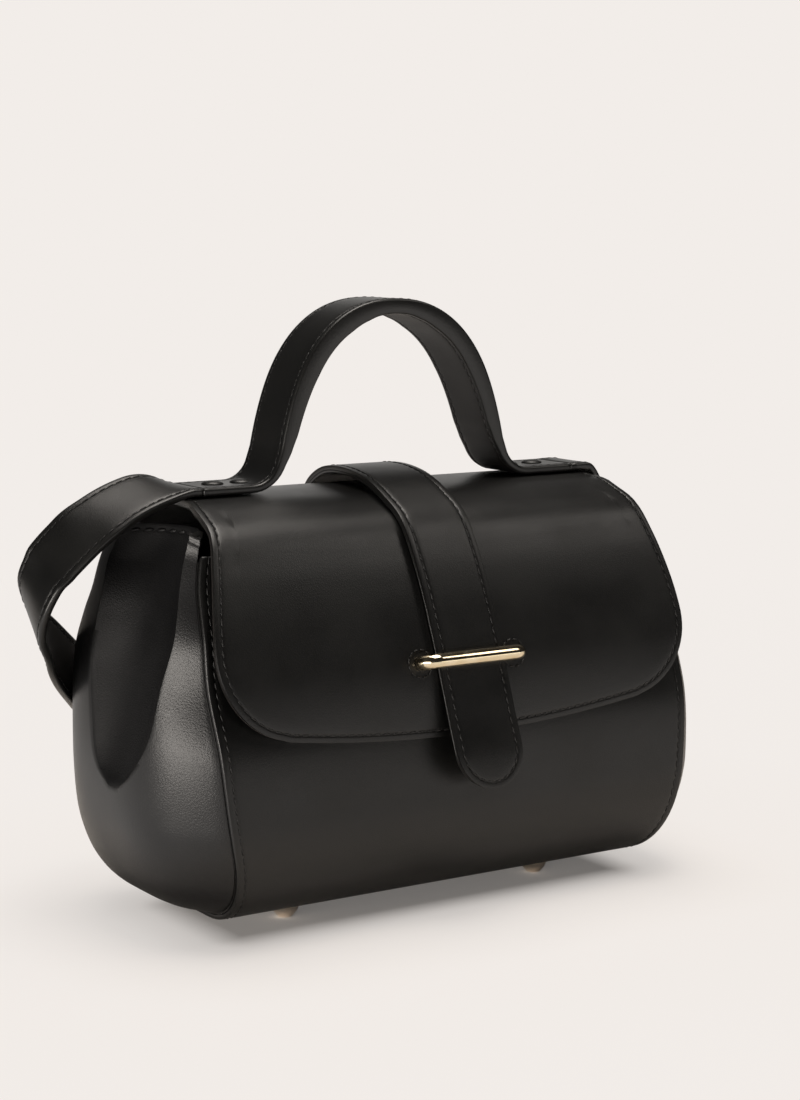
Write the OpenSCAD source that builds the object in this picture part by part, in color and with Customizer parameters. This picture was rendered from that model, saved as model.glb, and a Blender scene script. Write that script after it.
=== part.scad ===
// Structured leather handbag with a moulded gusset at each side, a front flap with a
// threaded strap and metal loop, a riveted top handle and a long shoulder strap.
// Millimetres, Z up, X along the width, the front faces -Y, the floor is at Z = 0.

/* [Body] */
// Width between the gusset seams at the fullest height
body_w = 262; // [220:1:320]
// Depth of the body at its fullest height
body_d = 140; // [115:1:175]
// Height of the gusset's top hem above the floor
hem_z = 183; // [160:1:210]
// How far the base is narrower than the fullest width, at each side
base_taper = 13; // [4:0.5:20]
// How far the crest is narrower than the fullest width, at each side
crest_taper = 10.5; // [4:0.5:16]
// Radius where the bottom turns up into the front and back
corner_r = 40; // [25:1:50]
// Thickness of the body leather
panel_t = 2.6; // [1.8:0.1:3.6]
// Thickness of the suede lining
lining_t = 1.2; // [0.8:0.1:2]
// How far the front panel's top edge leans in from the fullest front
front_lean = 30; // [22:1:36]

/* [Gusset] */
// Thickness of the gusset leather
gusset_t = 2.4; // [1.6:0.1:3.2]
// How far the gusset swells out past its seam
gusset_bulge = 28; // [12:1:34]
// How far the gusset swells out at its top hem
hem_bulge = 12; // [4:1:16]
// Depth of the popped-in dimple at the hem
dimple_depth = 15; // [6:1:20]
// Height of the dimple's rounded lower end
dimple_tip_z = 72; // [60:1:100]
// Share of the gusset's half depth that the dimple takes at the hem
dimple_reach = 0.86; // [0.6:0.01:0.9]
// Width of the seam margin turned in behind the panel
margin_w = 9; // [6:0.5:12]

/* [Flap] */
// Height of the crest above the gusset's hem
crest_rise = 15.5; // [8:0.5:30]
// Thickness of the flap leather
flap_t = 2.2; // [1.6:0.1:3]
// Thickness of the flap lining
flap_lining_t = 1.4; // [0.8:0.1:2]
// Height of the flap's lower edge at its middle
flap_edge_z = 88.5; // [75:0.5:110]
// How much higher the lower edge is beside the corners
flap_bow = 7; // [0:0.5:14]
// Radius of the flap's lower corners
flap_corner_r = 38; // [20:1:50]
// How far the flap's side edges stand in from the seams
flap_side_in = 1.5; // [0:0.5:6]
// How far the flap narrows from its sides up to the crest, at each side
flap_taper = 15; // [4:0.5:20]

/* [Handle] */
// Width of the handle and strap band
band_w = 32; // [24:1:40]
// Thickness of the handle band
band_t = 3.7; // [3:0.1:6]
// Thickness of the strip that lines the handle's arch
grip_t = 3.6; // [2:0.1:5]
// Width of the handle's arch over its outside
arch_w = 125; // [105:1:150]
// Height of the handle's arch above the crest
arch_h = 88.8; // [75:0.2:110]
// Radius where a leg turns out into its foot
foot_bend_r = 8.5; // [6:0.5:14]
// Distance from the outer rivet to the end of a handle foot
foot_tail = 13; // [8:0.5:20]
// How far the handle stands behind the middle of the body
handle_back = 11; // [2:0.5:16]

/* [Rivets] */
// Distance from the end of the foot's bend to the inner rivet
rivet_in = 5.5; // [4:0.5:10]
// Distance between the two rivets of a foot
rivet_pitch = 15; // [12:0.5:18]
// Diameter of a rivet's head
rivet_head_d = 10.5; // [7:0.5:12]
// Diameter of a rivet's post
rivet_d = 3.2; // [2.5:0.1:4]

/* [Strap and loop] */
// Width of the closing strap
strap_w = 36; // [28:1:40]
// Thickness of the closing strap's leather
strap_t = 2; // [1.4:0.1:2.6]
// Thickness of the closing strap's lining
strap_lining_t = 1.6; // [1:0.1:2]
// Height of the tongue's tip above the floor
tongue_z = 64; // [50:1:75]
// How far the tongue's tip stands off the front
tongue_off = 10; // [2:0.5:16]
// How far the closing strap hangs askew, in degrees
strap_slant = 3.5; // [0:0.5:5]
// Diameter of the loop's wire
wire_d = 7; // [5:0.1:9]
// Room between the strap's edges and the loop's legs, both sides together
loop_room = 9; // [4:0.5:20]
// Height of the loop above the floor
loop_z = 123; // [112:1:128]

/* [Base] */
// Height of the feet under the bag
foot_h = 9; // [6:0.5:14]
// Diameter of a foot
foot_d = 14; // [10:0.5:18]
// Distance from the middle to a foot along the width
foot_x = 72; // [50:1:90]
// Distance from the middle to a foot along the depth
foot_y = 20; // [12:0.5:22]
// Thickness of the stiff board inside the base
board_t = 3; // [2:0.1:5]

/* [Magnet] */
// Diameter of the two magnet discs
magnet_d = 16; // [12:0.5:20]
// Thickness of each magnet disc
magnet_t = 1.5; // [1:0.1:1.8]
// Height of the magnets above the floor
magnet_z = 106; // [100:0.5:112]

/* [Hidden] */
$fn = 48;

// Clearances: a sewn joint, a bore round its pin, a strap in its loop
seam_gap = 0.2;
bore_gap = 0.1;
thread_gap = 0.5;

half_w = body_w / 2;
half_d = body_d / 2;
base_z = foot_h;
flat_y = half_d - corner_r;
arc_top_z = base_z + corner_r;
back_full = 1;
crest_z = hem_z + crest_rise;
hinge_z = crest_z - 24;
front_top_z = hem_z - 6;
front_h = front_top_z - arc_top_z;
flap_drop = crest_z - flap_edge_z;
steps = 5;

leg_x = arch_w / 2;
rivet_x = leg_x + foot_bend_r + rivet_in;
foot_end_x = rivet_x + rivet_pitch + foot_tail;
loop_w = strap_w + loop_room + wire_d;
strap_all_t = strap_t + strap_lining_t;
flap_all_t = flap_t + flap_lining_t;

// Curve through a list of points
function span(a, b, c, d, t) =
    0.5 * (2 * b + (c - a) * t + (2 * a - 5 * b + 4 * c - d) * t * t + (3 * b - a - 3 * c + d) * t * t * t);
function spline(p, n) = concat(
    [for (i = [0:len(p) - 2], k = [0:n - 1])
        span(p[max(i - 1, 0)], p[i], p[i + 1], p[min(i + 2, len(p) - 1)], k / n)],
    [p[len(p) - 1]]);
function part(p, from, to) = [for (i = [from:to]) p[i]];
function flip(p) = [for (i = [len(p) - 1:-1:0]) p[i]];
function swap(p) = [for (q = p) [q[1], q[0]]];

// Path moved sideways, to the left of its direction
function side(p, i) =
    let (d = p[min(i + 1, len(p) - 1)] - p[max(i - 1, 0)])
    [-d[1], d[0]] / norm(d);
function shifted(p, d) = [for (i = [0:len(p) - 1]) p[i] + d * side(p, i)];

// Half the width between the seams at each height
width_table = spline([
    [base_z, half_w - base_taper],
    [base_z + 27, half_w - 8],
    [base_z + 50, half_w - 3.8],
    [base_z + 82, half_w - 1],
    [hem_z - 53, half_w],
    [hem_z - 23, half_w - 2.5],
    [hem_z - 3, half_w - 7],
    [crest_z, half_w - crest_taper],
    [crest_z + 10, half_w - crest_taper]], steps);
function half_width(z) = lookup(z, width_table);

// Side view of the body: front, bottom, back, then the flap over the crest
front_curve = spline([
    [-half_d, arc_top_z],
    [-half_d, arc_top_z + 0.08 * front_h],
    [-half_d + 5, arc_top_z + 0.33 * front_h],
    [-half_d + 13, arc_top_z + 0.555 * front_h],
    [-half_d + 17, arc_top_z + 0.72 * front_h],
    [-half_d + front_lean - 4, arc_top_z + 0.89 * front_h],
    [-half_d + front_lean, front_top_z]], steps);
front_corner = [for (a = [0:10:80]) [-flat_y - corner_r * sin(a), arc_top_z - corner_r * cos(a)]];
back_corner = [for (a = [0:10:80]) [flat_y + corner_r * sin(a), arc_top_z - corner_r * cos(a)]];
back_rise = hinge_z - 52 - arc_top_z;
back_points = [
    [half_d, arc_top_z],
    [half_d + back_full, arc_top_z + back_rise * 36 / 73.5],
    [half_d, hinge_z - 52],
    [half_d - 8, hinge_z - 30],
    [half_d - 14, hinge_z - 18],
    [half_d - 17.5, hinge_z]];
crest_y = handle_back + 3;
back_run = half_d - 29 - crest_y;
front_run = crest_y + half_d - 42;
crest_points = [
    [half_d - 29, crest_z - 8.5],
    [crest_y + back_run * 15 / 27, crest_z - 1.4],
    [crest_y, crest_z],
    [crest_y - front_run * 17 / 42, crest_z - 0.6],
    [crest_y - front_run * 31 / 42, crest_z - 2.5],
    [-half_d + 42, crest_z - 0.06 * flap_drop],
    [-half_d + 33.5, crest_z - 0.096 * flap_drop],
    [-half_d + 27.5, crest_z - 0.15 * flap_drop],
    [-half_d + 23, crest_z - 0.223 * flap_drop],
    [-half_d + 18.5, crest_z - 0.305 * flap_drop],
    [-half_d + 12.5, crest_z - 0.44 * flap_drop],
    [-half_d + 7.5, crest_z - 0.578 * flap_drop],
    [-half_d + 3.5, crest_z - 0.7 * flap_drop],
    [-half_d + 0.5, crest_z - 0.855 * flap_drop],
    [-half_d - 1, flap_edge_z - 4],
    [-half_d - 1.5, tongue_z - 4]];
wrap = spline(concat(back_points, crest_points), steps);
outline = concat(flip(front_curve), flip(front_corner), back_corner, wrap);
last_i = len(outline) - 1;
bottom_i = len(front_curve) + len(front_corner);
hinge_i = bottom_i + len(back_corner) + (len(back_points) - 1) * steps;
crest_i = hinge_i + 3 * steps;
brow_i = hinge_i + 6 * steps;
front_table = swap(part(outline, brow_i, last_i));
function cover_y(z) = lookup(z, front_table);
function cover_tilt(z) = atan2(cover_y(z + 4) - cover_y(z - 4), 8);

// Strip between two offsets of a stretch of a side-view path, over the whole width
module strip(path, a, b, from, to) {
    rotate([90, 0, 90])
        linear_extrude(height = body_w + 20, center = true)
            polygon(concat(part(shifted(path, from), a, b), flip(part(shifted(path, to), a, b))));
}

// Front-view outline carried right through the depth
module through(depth = 400) {
    rotate([90, 0, 0])
        linear_extrude(height = depth, center = true)
            children();
}

// Front-view outline between the seams, less a margin at each side
module width_outline(less, from, to) {
    zs = [for (k = [0:24]) from + (to - from) * k / 24];
    right = [for (z = zs) [half_width(z) - less, z]];
    left = [for (z = flip(zs)) [less - half_width(z), z]];
    polygon(concat(right, left));
}

module placed() {
    translate([0, mid_y, 0])
        children();
}

// A pin, washer or bore standing on the crest or under the base
module upright(d, from, to) {
    translate([0, 0, from])
        cylinder(h = to - from, d = d);
}

module at_rivets() {
    for (sx = [-1, 1], k = [0, 1])
        translate([sx * (rivet_x + k * rivet_pitch), handle_back, 0])
            children();
}

module at_feet() {
    for (sx = [-1, 1], sy = [-1, 1])
        translate([sx * foot_x, sy * foot_y, 0])
            children();
}

// Frame whose Z axis points straight out of the flap, at a height on its front
module on_flap(z) {
    translate([0, cover_y(z), z])
        rotate([90 - cover_tilt(z), 0, 0])
            children();
}

// Frame whose Z axis points straight out of the front panel at the magnets
panel_table = swap(front_curve);
function panel_y(z) = lookup(z, panel_table);
panel_tilt = atan2(panel_y(magnet_z + 4) - panel_y(magnet_z - 4), 8);
module on_panel() {
    translate([0, panel_y(magnet_z), magnet_z])
        rotate([90 - panel_tilt, 0, 0])
            children();
}

// Base and lining

post_d = 4;
washer_d = 9;
board_z = base_z + panel_t + lining_t;

module main_panel() {
    color("#161616") placed()
        difference() {
            intersection() {
                strip(outline, 0, hinge_i, 0, panel_t);
                through() width_outline(0, base_z - 1, crest_z);
            }
            at_feet() upright(post_d + 2 * bore_gap, base_z - 1, base_z + panel_t + 1);
            on_panel() upright(post_d + 2 * bore_gap, -panel_t - 2, 1);
        }
}

lining_clear = margin_w + 1;
module body_lining() {
    color("#2b2624") placed()
        difference() {
            intersection() {
                strip(outline, 2, hinge_i - 2, panel_t, panel_t + lining_t);
                through() width_outline(lining_clear, base_z - 1, crest_z);
            }
            at_feet() upright(post_d + 2 * bore_gap, base_z, board_z + 1);
            on_panel() upright(washer_d + 2, -panel_t - lining_t - 2, -panel_t + 1);
        }
}

board_x = half_w - base_taper - lining_clear - 2;
board_y = flat_y - 1;
board_r = 10;
module base_board() {
    color("#4a3b2c") placed()
        difference() {
            translate([0, 0, board_z])
                linear_extrude(height = board_t)
                    union() {
                        square([2 * board_x, 2 * (board_y - board_r)], center = true);
                        square([2 * (board_x - board_r), 2 * board_y], center = true);
                        for (sx = [-1, 1], sy = [-1, 1])
                            translate([sx * (board_x - board_r), sy * (board_y - board_r)])
                                circle(r = board_r);
                    }
            at_feet() upright(post_d + 2 * bore_gap, board_z - 1, board_z + board_t + 1);
        }
}

nut_h = 3;
post_top = board_z + board_t + nut_h;
foot_flat_d = 7;
module feet() {
    color("#d8bd84") placed()
        at_feet()
            rotate_extrude()
                polygon([[0, 0], [foot_flat_d / 2, 0], [foot_d / 2 - 1, foot_h * 0.35],
                    [foot_d / 2, foot_h * 0.7], [foot_d / 2, foot_h], [post_d / 2, foot_h],
                    [post_d / 2, post_top], [0, post_top]]);
}

module foot_nuts() {
    color("#b9a37a") placed()
        at_feet()
            difference() {
                upright(washer_d, board_z + board_t, post_top);
                upright(post_d + 2 * bore_gap, board_z + board_t - 1, post_top + 1);
            }
}

// Gusset: a swollen shell between the seams, with the dimple popped into its upper part

swell_top_z = base_z + 43;
seam_in = panel_t + seam_gap + gusset_t / 4;
gusset_z = base_z + seam_in;
seam_path = [for (i = [0:last_i]) outline[i] + (i <= hinge_i ? seam_in : flap_all_t + 1) * side(outline, i)];
seam_front = swap(part(seam_path, 0, bottom_i - 1));
seam_back = swap(part(seam_path, bottom_i, hinge_i + 2 * steps));
rib_drop = 6;
back_drop = 10;
rib_share = 0.8;
crown_power = 3.5;
swell_power = 2.5;
tip_share = 0.14;
tip_lean = 0.2;
row_n = 26;
rib_cols = 6;
dimple_cols = 12;

function below(z) = (swell_top_z - z) / (swell_top_z - gusset_z);
function swell(z) = z < swell_top_z
    ? gusset_bulge * pow(max(0, 1 - pow(below(z), swell_power)), 1 / swell_power)
    : gusset_bulge - (gusset_bulge - hem_bulge) * pow((z - swell_top_z) / (hem_z - swell_top_z), 1.3);
function rise(z) = min(1, max(0, (z - dimple_tip_z) / (hem_z - dimple_tip_z)));
function dimple_half(z) = max(tip_share, dimple_reach * pow(rise(z), 0.42));
function dimple_mid(z) = -tip_lean * (1 - rise(z));
function crown(s, z) = swell(z) * (1 - pow(abs(s), crown_power));

// Column positions from the front seam over the dimple's two ridges to the back seam
function column(j, z) =
    let (a = dimple_mid(z) - dimple_half(z), b = dimple_mid(z) + dimple_half(z))
    j <= rib_cols ? -1 + (a + 1) * j / rib_cols
    : j <= rib_cols + dimple_cols ? a + (b - a) * (j - rib_cols) / dimple_cols
    : b + (1 - b) * (j - rib_cols - dimple_cols) / rib_cols;
col_n = 2 * rib_cols + dimple_cols;

// Height of the skin past the seam: the crown, or the scoop between the ridges
function skin(j, z) =
    let (s = column(j, z), a = dimple_mid(z) - dimple_half(z), b = dimple_mid(z) + dimple_half(z))
    j <= rib_cols || j >= rib_cols + dimple_cols ? crown(s, z)
    : let (u = (s - a) / (b - a), ridge = crown(a, z) * (1 - u) + crown(b, z) * u)
      ridge + (crown(s, z) - ridge) * (1 - min(1, rise(z) * 14))
      - dimple_depth * sqrt(rise(z)) * 4 * u * (1 - u);

// Hem height falls towards the two seams
function hem_at(j) =
    let (e = max(0, abs(2 * j / col_n - 1) - 1 + 2 * rib_cols / col_n) * col_n / (2 * rib_cols))
    hem_z - (2 * j < col_n ? rib_drop : back_drop) * e;
function skin_point(i, j, less) =
    let (z = gusset_z + (hem_at(j) - gusset_z) * pow(i / row_n, 1.35),
        f = lookup(z, seam_front), b = lookup(z, seam_back), s = column(j, z))
    [half_width(z) + skin(j, z) - less, (f + b) / 2 + s * (b - f) / 2, z];

module gusset_shell() {
    n = col_n + 1;
    m = (row_n + 1) * n;
    points = concat(
        [for (i = [0:row_n], j = [0:col_n]) skin_point(i, j, 0)],
        [for (i = [0:row_n], j = [0:col_n]) skin_point(i, j, gusset_t)]);
    outer = [for (i = [0:row_n - 1], j = [0:col_n - 1])
        let (a = i * n + j) each [[a, a + n, a + n + 1], [a, a + n + 1, a + 1]]];
    inner = [for (t = outer) [t[0] + m, t[2] + m, t[1] + m]];
    loop = concat(
        [for (j = [0:col_n]) j],
        [for (i = [1:row_n]) i * n + col_n],
        [for (j = [col_n - 1:-1:0]) row_n * n + j],
        [for (i = [row_n - 1:-1:1]) i * n]);
    rim = [for (k = [0:len(loop) - 1])
        let (a = loop[k], b = loop[(k + 1) % len(loop)])
        each [[a, b, b + m], [a, b + m, a + m]]];
    polyhedron(points = points, faces = concat(outer, inner, rim));
}

// Margin of the gusset turned in behind the panel's edge
module gusset_margin() {
    intersection() {
        strip(outline, 1, hinge_i - 2, panel_t + seam_gap, panel_t + seam_gap + gusset_t);
        through() difference() {
            width_outline(0, base_z - 1, crest_z);
            width_outline(margin_w, base_z - 2, crest_z + 1);
        }
        translate([0, -half_d - 20, 0])
            cube([body_w, body_d + 40, crest_z]);
    }
}

module right_gusset() {
    color("#1d1d1e") placed() {
        gusset_shell();
        gusset_margin();
    }
}

module left_gusset() {
    color("#1d1d1e") placed()
        mirror([1, 0, 0]) {
            gusset_shell();
            gusset_margin();
        }
}

// Flap

flap_turn_z = flap_edge_z + flap_bow + flap_corner_r;
flap_side_w = half_w - flap_side_in;
flap_top_z = crest_z - flap_all_t - 1;
function flap_half(z) =
    flap_side_w - flap_taper * pow(min(1, max(0, (z - flap_turn_z) / (flap_top_z - flap_turn_z))), 1.4);
function flap_back_half(z) =
    let (k = min(1, max(0, (z - hinge_z) / (flap_top_z - hinge_z))))
    half_width(hinge_z) * (1 - k) + flap_half(flap_top_z) * k;

module mirrored(right) {
    left = [for (i = [len(right) - 1:-1:0]) if (right[i][0] > 0) [-right[i][0], right[i][1]]];
    polygon(concat(right, left));
}

module flap_outline() {
    turn_x = flap_side_w - flap_corner_r;
    slope = atan2(2 * flap_bow, turn_x);
    upper = [for (k = [0:16])
        let (z = crest_z + 6 - (crest_z + 6 - flap_turn_z) * k / 16)
        [flap_half(z), z]];
    corner = [for (a = [10:10:80])
        [turn_x + flap_corner_r * cos(a), flap_turn_z - flap_corner_r * sin(a)]];
    lower = [for (k = [10:-1:0])
        [(turn_x + flap_corner_r * sin(slope)) * k / 10, flap_edge_z + flap_bow * k * k / 100]];
    mirrored(concat(upper, corner, lower));
}

module flap_back_outline() {
    mirrored([for (k = [0:10])
        let (z = crest_z + 6 - (crest_z + 16 - hinge_z) * k / 10)
        [flap_back_half(z), z]]);
}

stud_d = 4;
module flap_sheet(from, to) {
    difference() {
        union() {
            intersection() {
                strip(outline, hinge_i, crest_i, from, to);
                through() flap_back_outline();
            }
            intersection() {
                strip(outline, crest_i, last_i, from, to);
                through() flap_outline();
            }
        }
        at_rivets() upright(rivet_d + 2 * bore_gap, crest_z - 20, crest_z + 5);
        on_flap(loop_z)
            for (sx = [-1, 1])
                translate([sx * loop_w / 2, 0, 0])
                    upright(wire_d + 2 * bore_gap, -10, 6);
    }
}

module flap() {
    color("#151515") placed() flap_sheet(0, flap_t);
}

module flap_lining() {
    color("#26211f") placed() flap_sheet(flap_t, flap_all_t);
}

stiff_t = 1.4;
stiff_from = crest_y - front_run * 13 / 42;
stiff_to = crest_y + back_run * 7 / 27;
stiff_z = crest_z - flap_all_t - 0.6;
stiff_x = rivet_x + rivet_pitch + 12;
module crest_stiffener() {
    color("#5a4632") placed()
        difference() {
            translate([-stiff_x, stiff_from, stiff_z - stiff_t])
                cube([2 * stiff_x, stiff_to - stiff_from, stiff_t]);
            at_rivets() upright(rivet_d + 2 * bore_gap, stiff_z - stiff_t - 1, stiff_z + 1);
        }
}

// Handle: a band that stands in an arch and turns out flat into its feet

arch_power = 2.25;
foot_seat = 0.3;
foot_top = crest_z + foot_seat + band_t;
arch_right = [for (a = [6:3:90])
    [leg_x * pow(cos(a), 2 / arch_power), crest_z + arch_h * pow(sin(a), 2 / arch_power)]];
bend_right = [for (a = [270:-10:190])
    [leg_x + foot_bend_r * (1 + cos(a)), foot_top + foot_bend_r * (1 + sin(a))]];
half_arch = concat([[foot_end_x, foot_top], [rivet_x + rivet_pitch / 2, foot_top]], bend_right, arch_right);
mirror_arch = [for (i = [len(half_arch) - 2:-1:0]) [-half_arch[i][0], half_arch[i][1]]];
arch = concat(half_arch, mirror_arch);
grip_from = len(bend_right) + 2;
grip_to = len(arch) - 1 - grip_from;
grip_edge = 0.8;
grip_table = [[foot_top + 2 * foot_bend_r, grip_edge], [crest_z + 0.65 * arch_h, grip_t]];
grip_outer = part(shifted(arch, band_t), grip_from, grip_to);
grip_inner = [for (i = [grip_from:grip_to])
    arch[i] + (band_t + lookup(arch[i][1], grip_table)) * side(arch, i)];

module band(outer, inner) {
    translate([0, handle_back, 0])
        through(band_w)
            polygon(concat(outer, flip(inner)));
}

module handle() {
    color("#181818") placed()
        difference() {
            band(arch, shifted(arch, band_t));
            at_rivets() upright(rivet_d + 2 * bore_gap, crest_z - 5, foot_top + 5);
        }
}

module handle_lining() {
    color("#1c1b1b") placed() band(grip_outer, grip_inner);
}

rivet_h = 1.7;
back_t = 1.2;
rivet_low = stiff_z - stiff_t - back_t;
module rivets() {
    color("#202020") placed()
        at_rivets()
            rotate_extrude()
                polygon([[0, rivet_low], [rivet_d / 2, rivet_low], [rivet_d / 2, foot_top],
                    [rivet_head_d / 2, foot_top], [rivet_head_d / 2, foot_top + rivet_h * 0.4],
                    [rivet_head_d / 2 - 1.2, foot_top + rivet_h * 0.85], [0, foot_top + rivet_h]]);
}

module rivet_backs() {
    color("#8d8676") placed()
        at_rivets()
            difference() {
                upright(rivet_head_d - 1, rivet_low, rivet_low + back_t);
                upright(rivet_d + 2 * bore_gap, rivet_low - 1, rivet_low + back_t + 1);
            }
}

// Loop: a wire staple whose legs pass through the flap to a plate behind it

strap_seat = 0.45;
bar_h = strap_seat + strap_all_t + thread_gap + wire_d / 2;
bend_r = 5.5;
plate_t = 1.4;
plate_z = -flap_all_t - 0.4;
loop_nut_h = 2.4;
loop_nut_d = 8;
module at_legs() {
    for (sx = [-1, 1])
        translate([sx * loop_w / 2, 0, 0])
            children();
}

module closure_loop() {
    color("#e6d3ae") placed()
        on_flap(loop_z) {
            translate([0, 0, bar_h])
                rotate([0, 90, 0])
                    cylinder(h = loop_w - 2 * bend_r, d = wire_d, center = true);
            for (m = [0, 1])
                mirror([m, 0, 0])
                    translate([loop_w / 2 - bend_r, 0, bar_h - bend_r])
                        rotate([90, 0, 0])
                            rotate_extrude(angle = 90)
                                translate([bend_r, 0])
                                    circle(d = wire_d);
            at_legs() upright(wire_d, plate_z, bar_h - bend_r);
            at_legs() upright(stud_d, plate_z - plate_t - loop_nut_h, plate_z);
        }
}

plate_w = loop_w + 14;
plate_l = 13;
module loop_plate() {
    color("#9a958a") placed()
        on_flap(loop_z)
            difference() {
                translate([-plate_w / 2, -plate_l / 2, plate_z - plate_t])
                    cube([plate_w, plate_l, plate_t]);
                at_legs() upright(stud_d + 2 * bore_gap, plate_z - plate_t - 1, plate_z + 1);
            }
}

module loop_nuts() {
    color("#8b8578") placed()
        on_flap(loop_z)
            at_legs()
                difference() {
                    translate([0, 0, plate_z - plate_t - loop_nut_h])
                        cylinder(h = loop_nut_h, d = loop_nut_d, $fn = 6);
                    upright(stud_d + 2 * bore_gap, plate_z - plate_t - loop_nut_h - 1, plate_z);
                }
}

// Magnet pair behind the flap, each disc seated clear of the curve under it

function disc_rise(table, z, e) =
    let (tilt = atan2(lookup(z + 4, table) - lookup(z - 4, table), 8))
    (lookup(z + e, table) - lookup(z, table) - e * tan(tilt)) * cos(tilt);
magnet_edges = [-magnet_d / 2, magnet_d / 2];
flap_seat = max(0.2, max([for (e = magnet_edges) disc_rise(front_table, magnet_z, e)]));
panel_seat = max(0.1, max([for (e = magnet_edges) -disc_rise(panel_table, magnet_z, e)]));

module flap_magnet() {
    color("#a9a59c") placed()
        on_flap(magnet_z)
            upright(magnet_d, -flap_all_t - flap_seat - magnet_t, -flap_all_t - flap_seat);
}

module panel_magnet() {
    color("#a9a59c") placed()
        on_panel() {
            upright(magnet_d, panel_seat, panel_seat + magnet_t);
            upright(post_d, -panel_t - 2.6, panel_seat);
        }
}

module magnet_washer() {
    color("#8b8578") placed()
        on_panel()
            difference() {
                upright(washer_d, -panel_t - 1.6, -panel_t - 0.2);
                upright(post_d + 2 * bore_gap, -panel_t - 3, 1);
            }
}

// Closing strap: follows the flap, bows up over the crest and leaves the front at its tongue

bow = 5;
gap_front = [[tongue_z - 4, tongue_off + 0.8], [tongue_z + 14, tongue_off * 0.8], [loop_z - 28, 3.5],
    [loop_z - 10, 0.7], [loop_z, strap_seat], [loop_z + 30, 0.5], [crest_z - 21, 0.5],
    [crest_z - 8, 0.7], [crest_z - 2.5, 2.4], [crest_z, bow]];
gap_back = [[hinge_z, 0.4], [hinge_z + 8, 0.6], [crest_z - 8.5, 2.8], [crest_z - 1.4, 3.6], [crest_z, bow]];
strap_from = hinge_i + 3;
function strap_gap(p) = lookup(p[1], p[0] < handle_back ? gap_front : gap_back);
strap_path = [for (i = [strap_from:last_i]) outline[i] - strap_gap(outline[i]) * side(outline, i)];
strap_end = len(strap_path) - 1;
strap_bend_i = brow_i - 1 - strap_from;
above_loop = [for (i = [0:strap_end]) if (strap_path[i][1] > loop_z + wire_d / 2 + 4) i];
tongue_from = above_loop[len(above_loop) - 1];

// The foremost and rearmost points set the middle of the whole object
tip_table = swap(part(shifted(strap_path, -strap_all_t), strap_bend_i, strap_end));
rear_y = max([for (p = outline) p[0]]);
mid_y = -(lookup(tongue_z, tip_table) + rear_y) / 2;

module strap_outline() {
    translate([0, loop_z])
        rotate(strap_slant)
            translate([0, tongue_z + strap_w / 2 - loop_z]) {
                translate([-strap_w / 2, 0])
                    square([strap_w, crest_z + 30]);
                circle(d = strap_w);
            }
}

module strap_layer(from, to, a, b) {
    intersection() {
        strip(strap_path, a, b, from, to);
        through() strap_outline();
    }
}

module strap_base() {
    color("#171717") placed() strap_layer(-strap_all_t, -strap_lining_t, 0, strap_bend_i);
}

module strap_base_lining() {
    color("#211f1e") placed() strap_layer(-strap_lining_t, 0, 0, strap_bend_i);
}

module closure_strap() {
    color("#171717") placed() strap_layer(-strap_all_t, -strap_lining_t, strap_bend_i, tongue_from);
}

module closure_strap_lining() {
    color("#211f1e") placed() strap_layer(-strap_lining_t, 0, strap_bend_i, tongue_from);
}

module strap_tongue() {
    color("#171717") placed()
        strap_layer(-strap_all_t, -strap_lining_t, tongue_from, strap_end);
}

module strap_tongue_lining() {
    color("#211f1e") placed()
        strap_layer(-strap_lining_t, 0, tongue_from, strap_end);
}

// Shoulder strap: one flat band from foot to foot, round behind the bag.
// Each point of the route has the direction of the band's width beside it.
cord_t = 3.6;
cord_edge = 0.8;
cord_steps = 4;
cord_end = [foot_end_x, handle_back + mid_y, crest_z + foot_seat + band_t / 2];
route = [
    [-110, 18, 201.5], [-118, 18, 202], [-126, 18, 201], [-134, 18, 198.5], [-142, 18, 195],
    [-150, 18, 190.5], [-158, 19, 185], [-164, 20, 179.5], [-170, 22, 173], [-175, 24, 166],
    [-178, 28, 155], [-175, 34, 142], [-166, 42, 132], [-154, 55, 121], [-139, 72, 109],
    [-121, 94, 96], [-97, 103, 77], [-70, 106, 54], [-36, 109, 30], [0, 110, 20],
    [36, 109, 23], [70, 106, 34], [98, 101, 52], [126, 93, 78], [149, 78, 104],
    [157, 57, 124], [152, 38, 141], [139, 25, 157], [131, 19, 171], [127, 18, 183],
    [122.5, 18, 193], [118, 18, 199.6], [114, 18, 200.9]];
lay = [
    [0, 1, 0.06], [0, 1, 0.24], [0, 1, 0.36], [0, 1, 0.42], [0, 1, 0.48],
    [0, 1, 0.56], [0, 1, 0.68], [0, 1, 0.74], [0, 1, 0.78], [0, 1, 0.7],
    [0, 0.9, 0.5], [0.24, 0.92, 0.3], [0.4, 0.8, 0.42], [0.46, 0.7, 0.54], [0.4, 0.56, 0.7],
    [0.2, 0.3, 1], [0.1, 0.1, 1], [0, 0, 1], [0, 0, 1], [0, 0, 1],
    [0, 0, 1], [0, 0, 1], [0, 0, 1], [0, 0.1, 1], [0, 0.3, 1],
    [0, 0.6, 0.8], [-0.2, 0.8, 0.6], [0, 1, 0.3], [0, 1, 0.1], [0, 1, 0],
    [0, 1, 0], [0, 1, 0], [0, 1, 0]];
cord_start = [-cord_end[0], cord_end[1], cord_end[2]];
cord_path = spline(concat([cord_start], route, [cord_end]), cord_steps);
cord_lay = spline(concat([[0, 1, 0]], lay, [[0, 1, 0]]), cord_steps);
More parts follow.
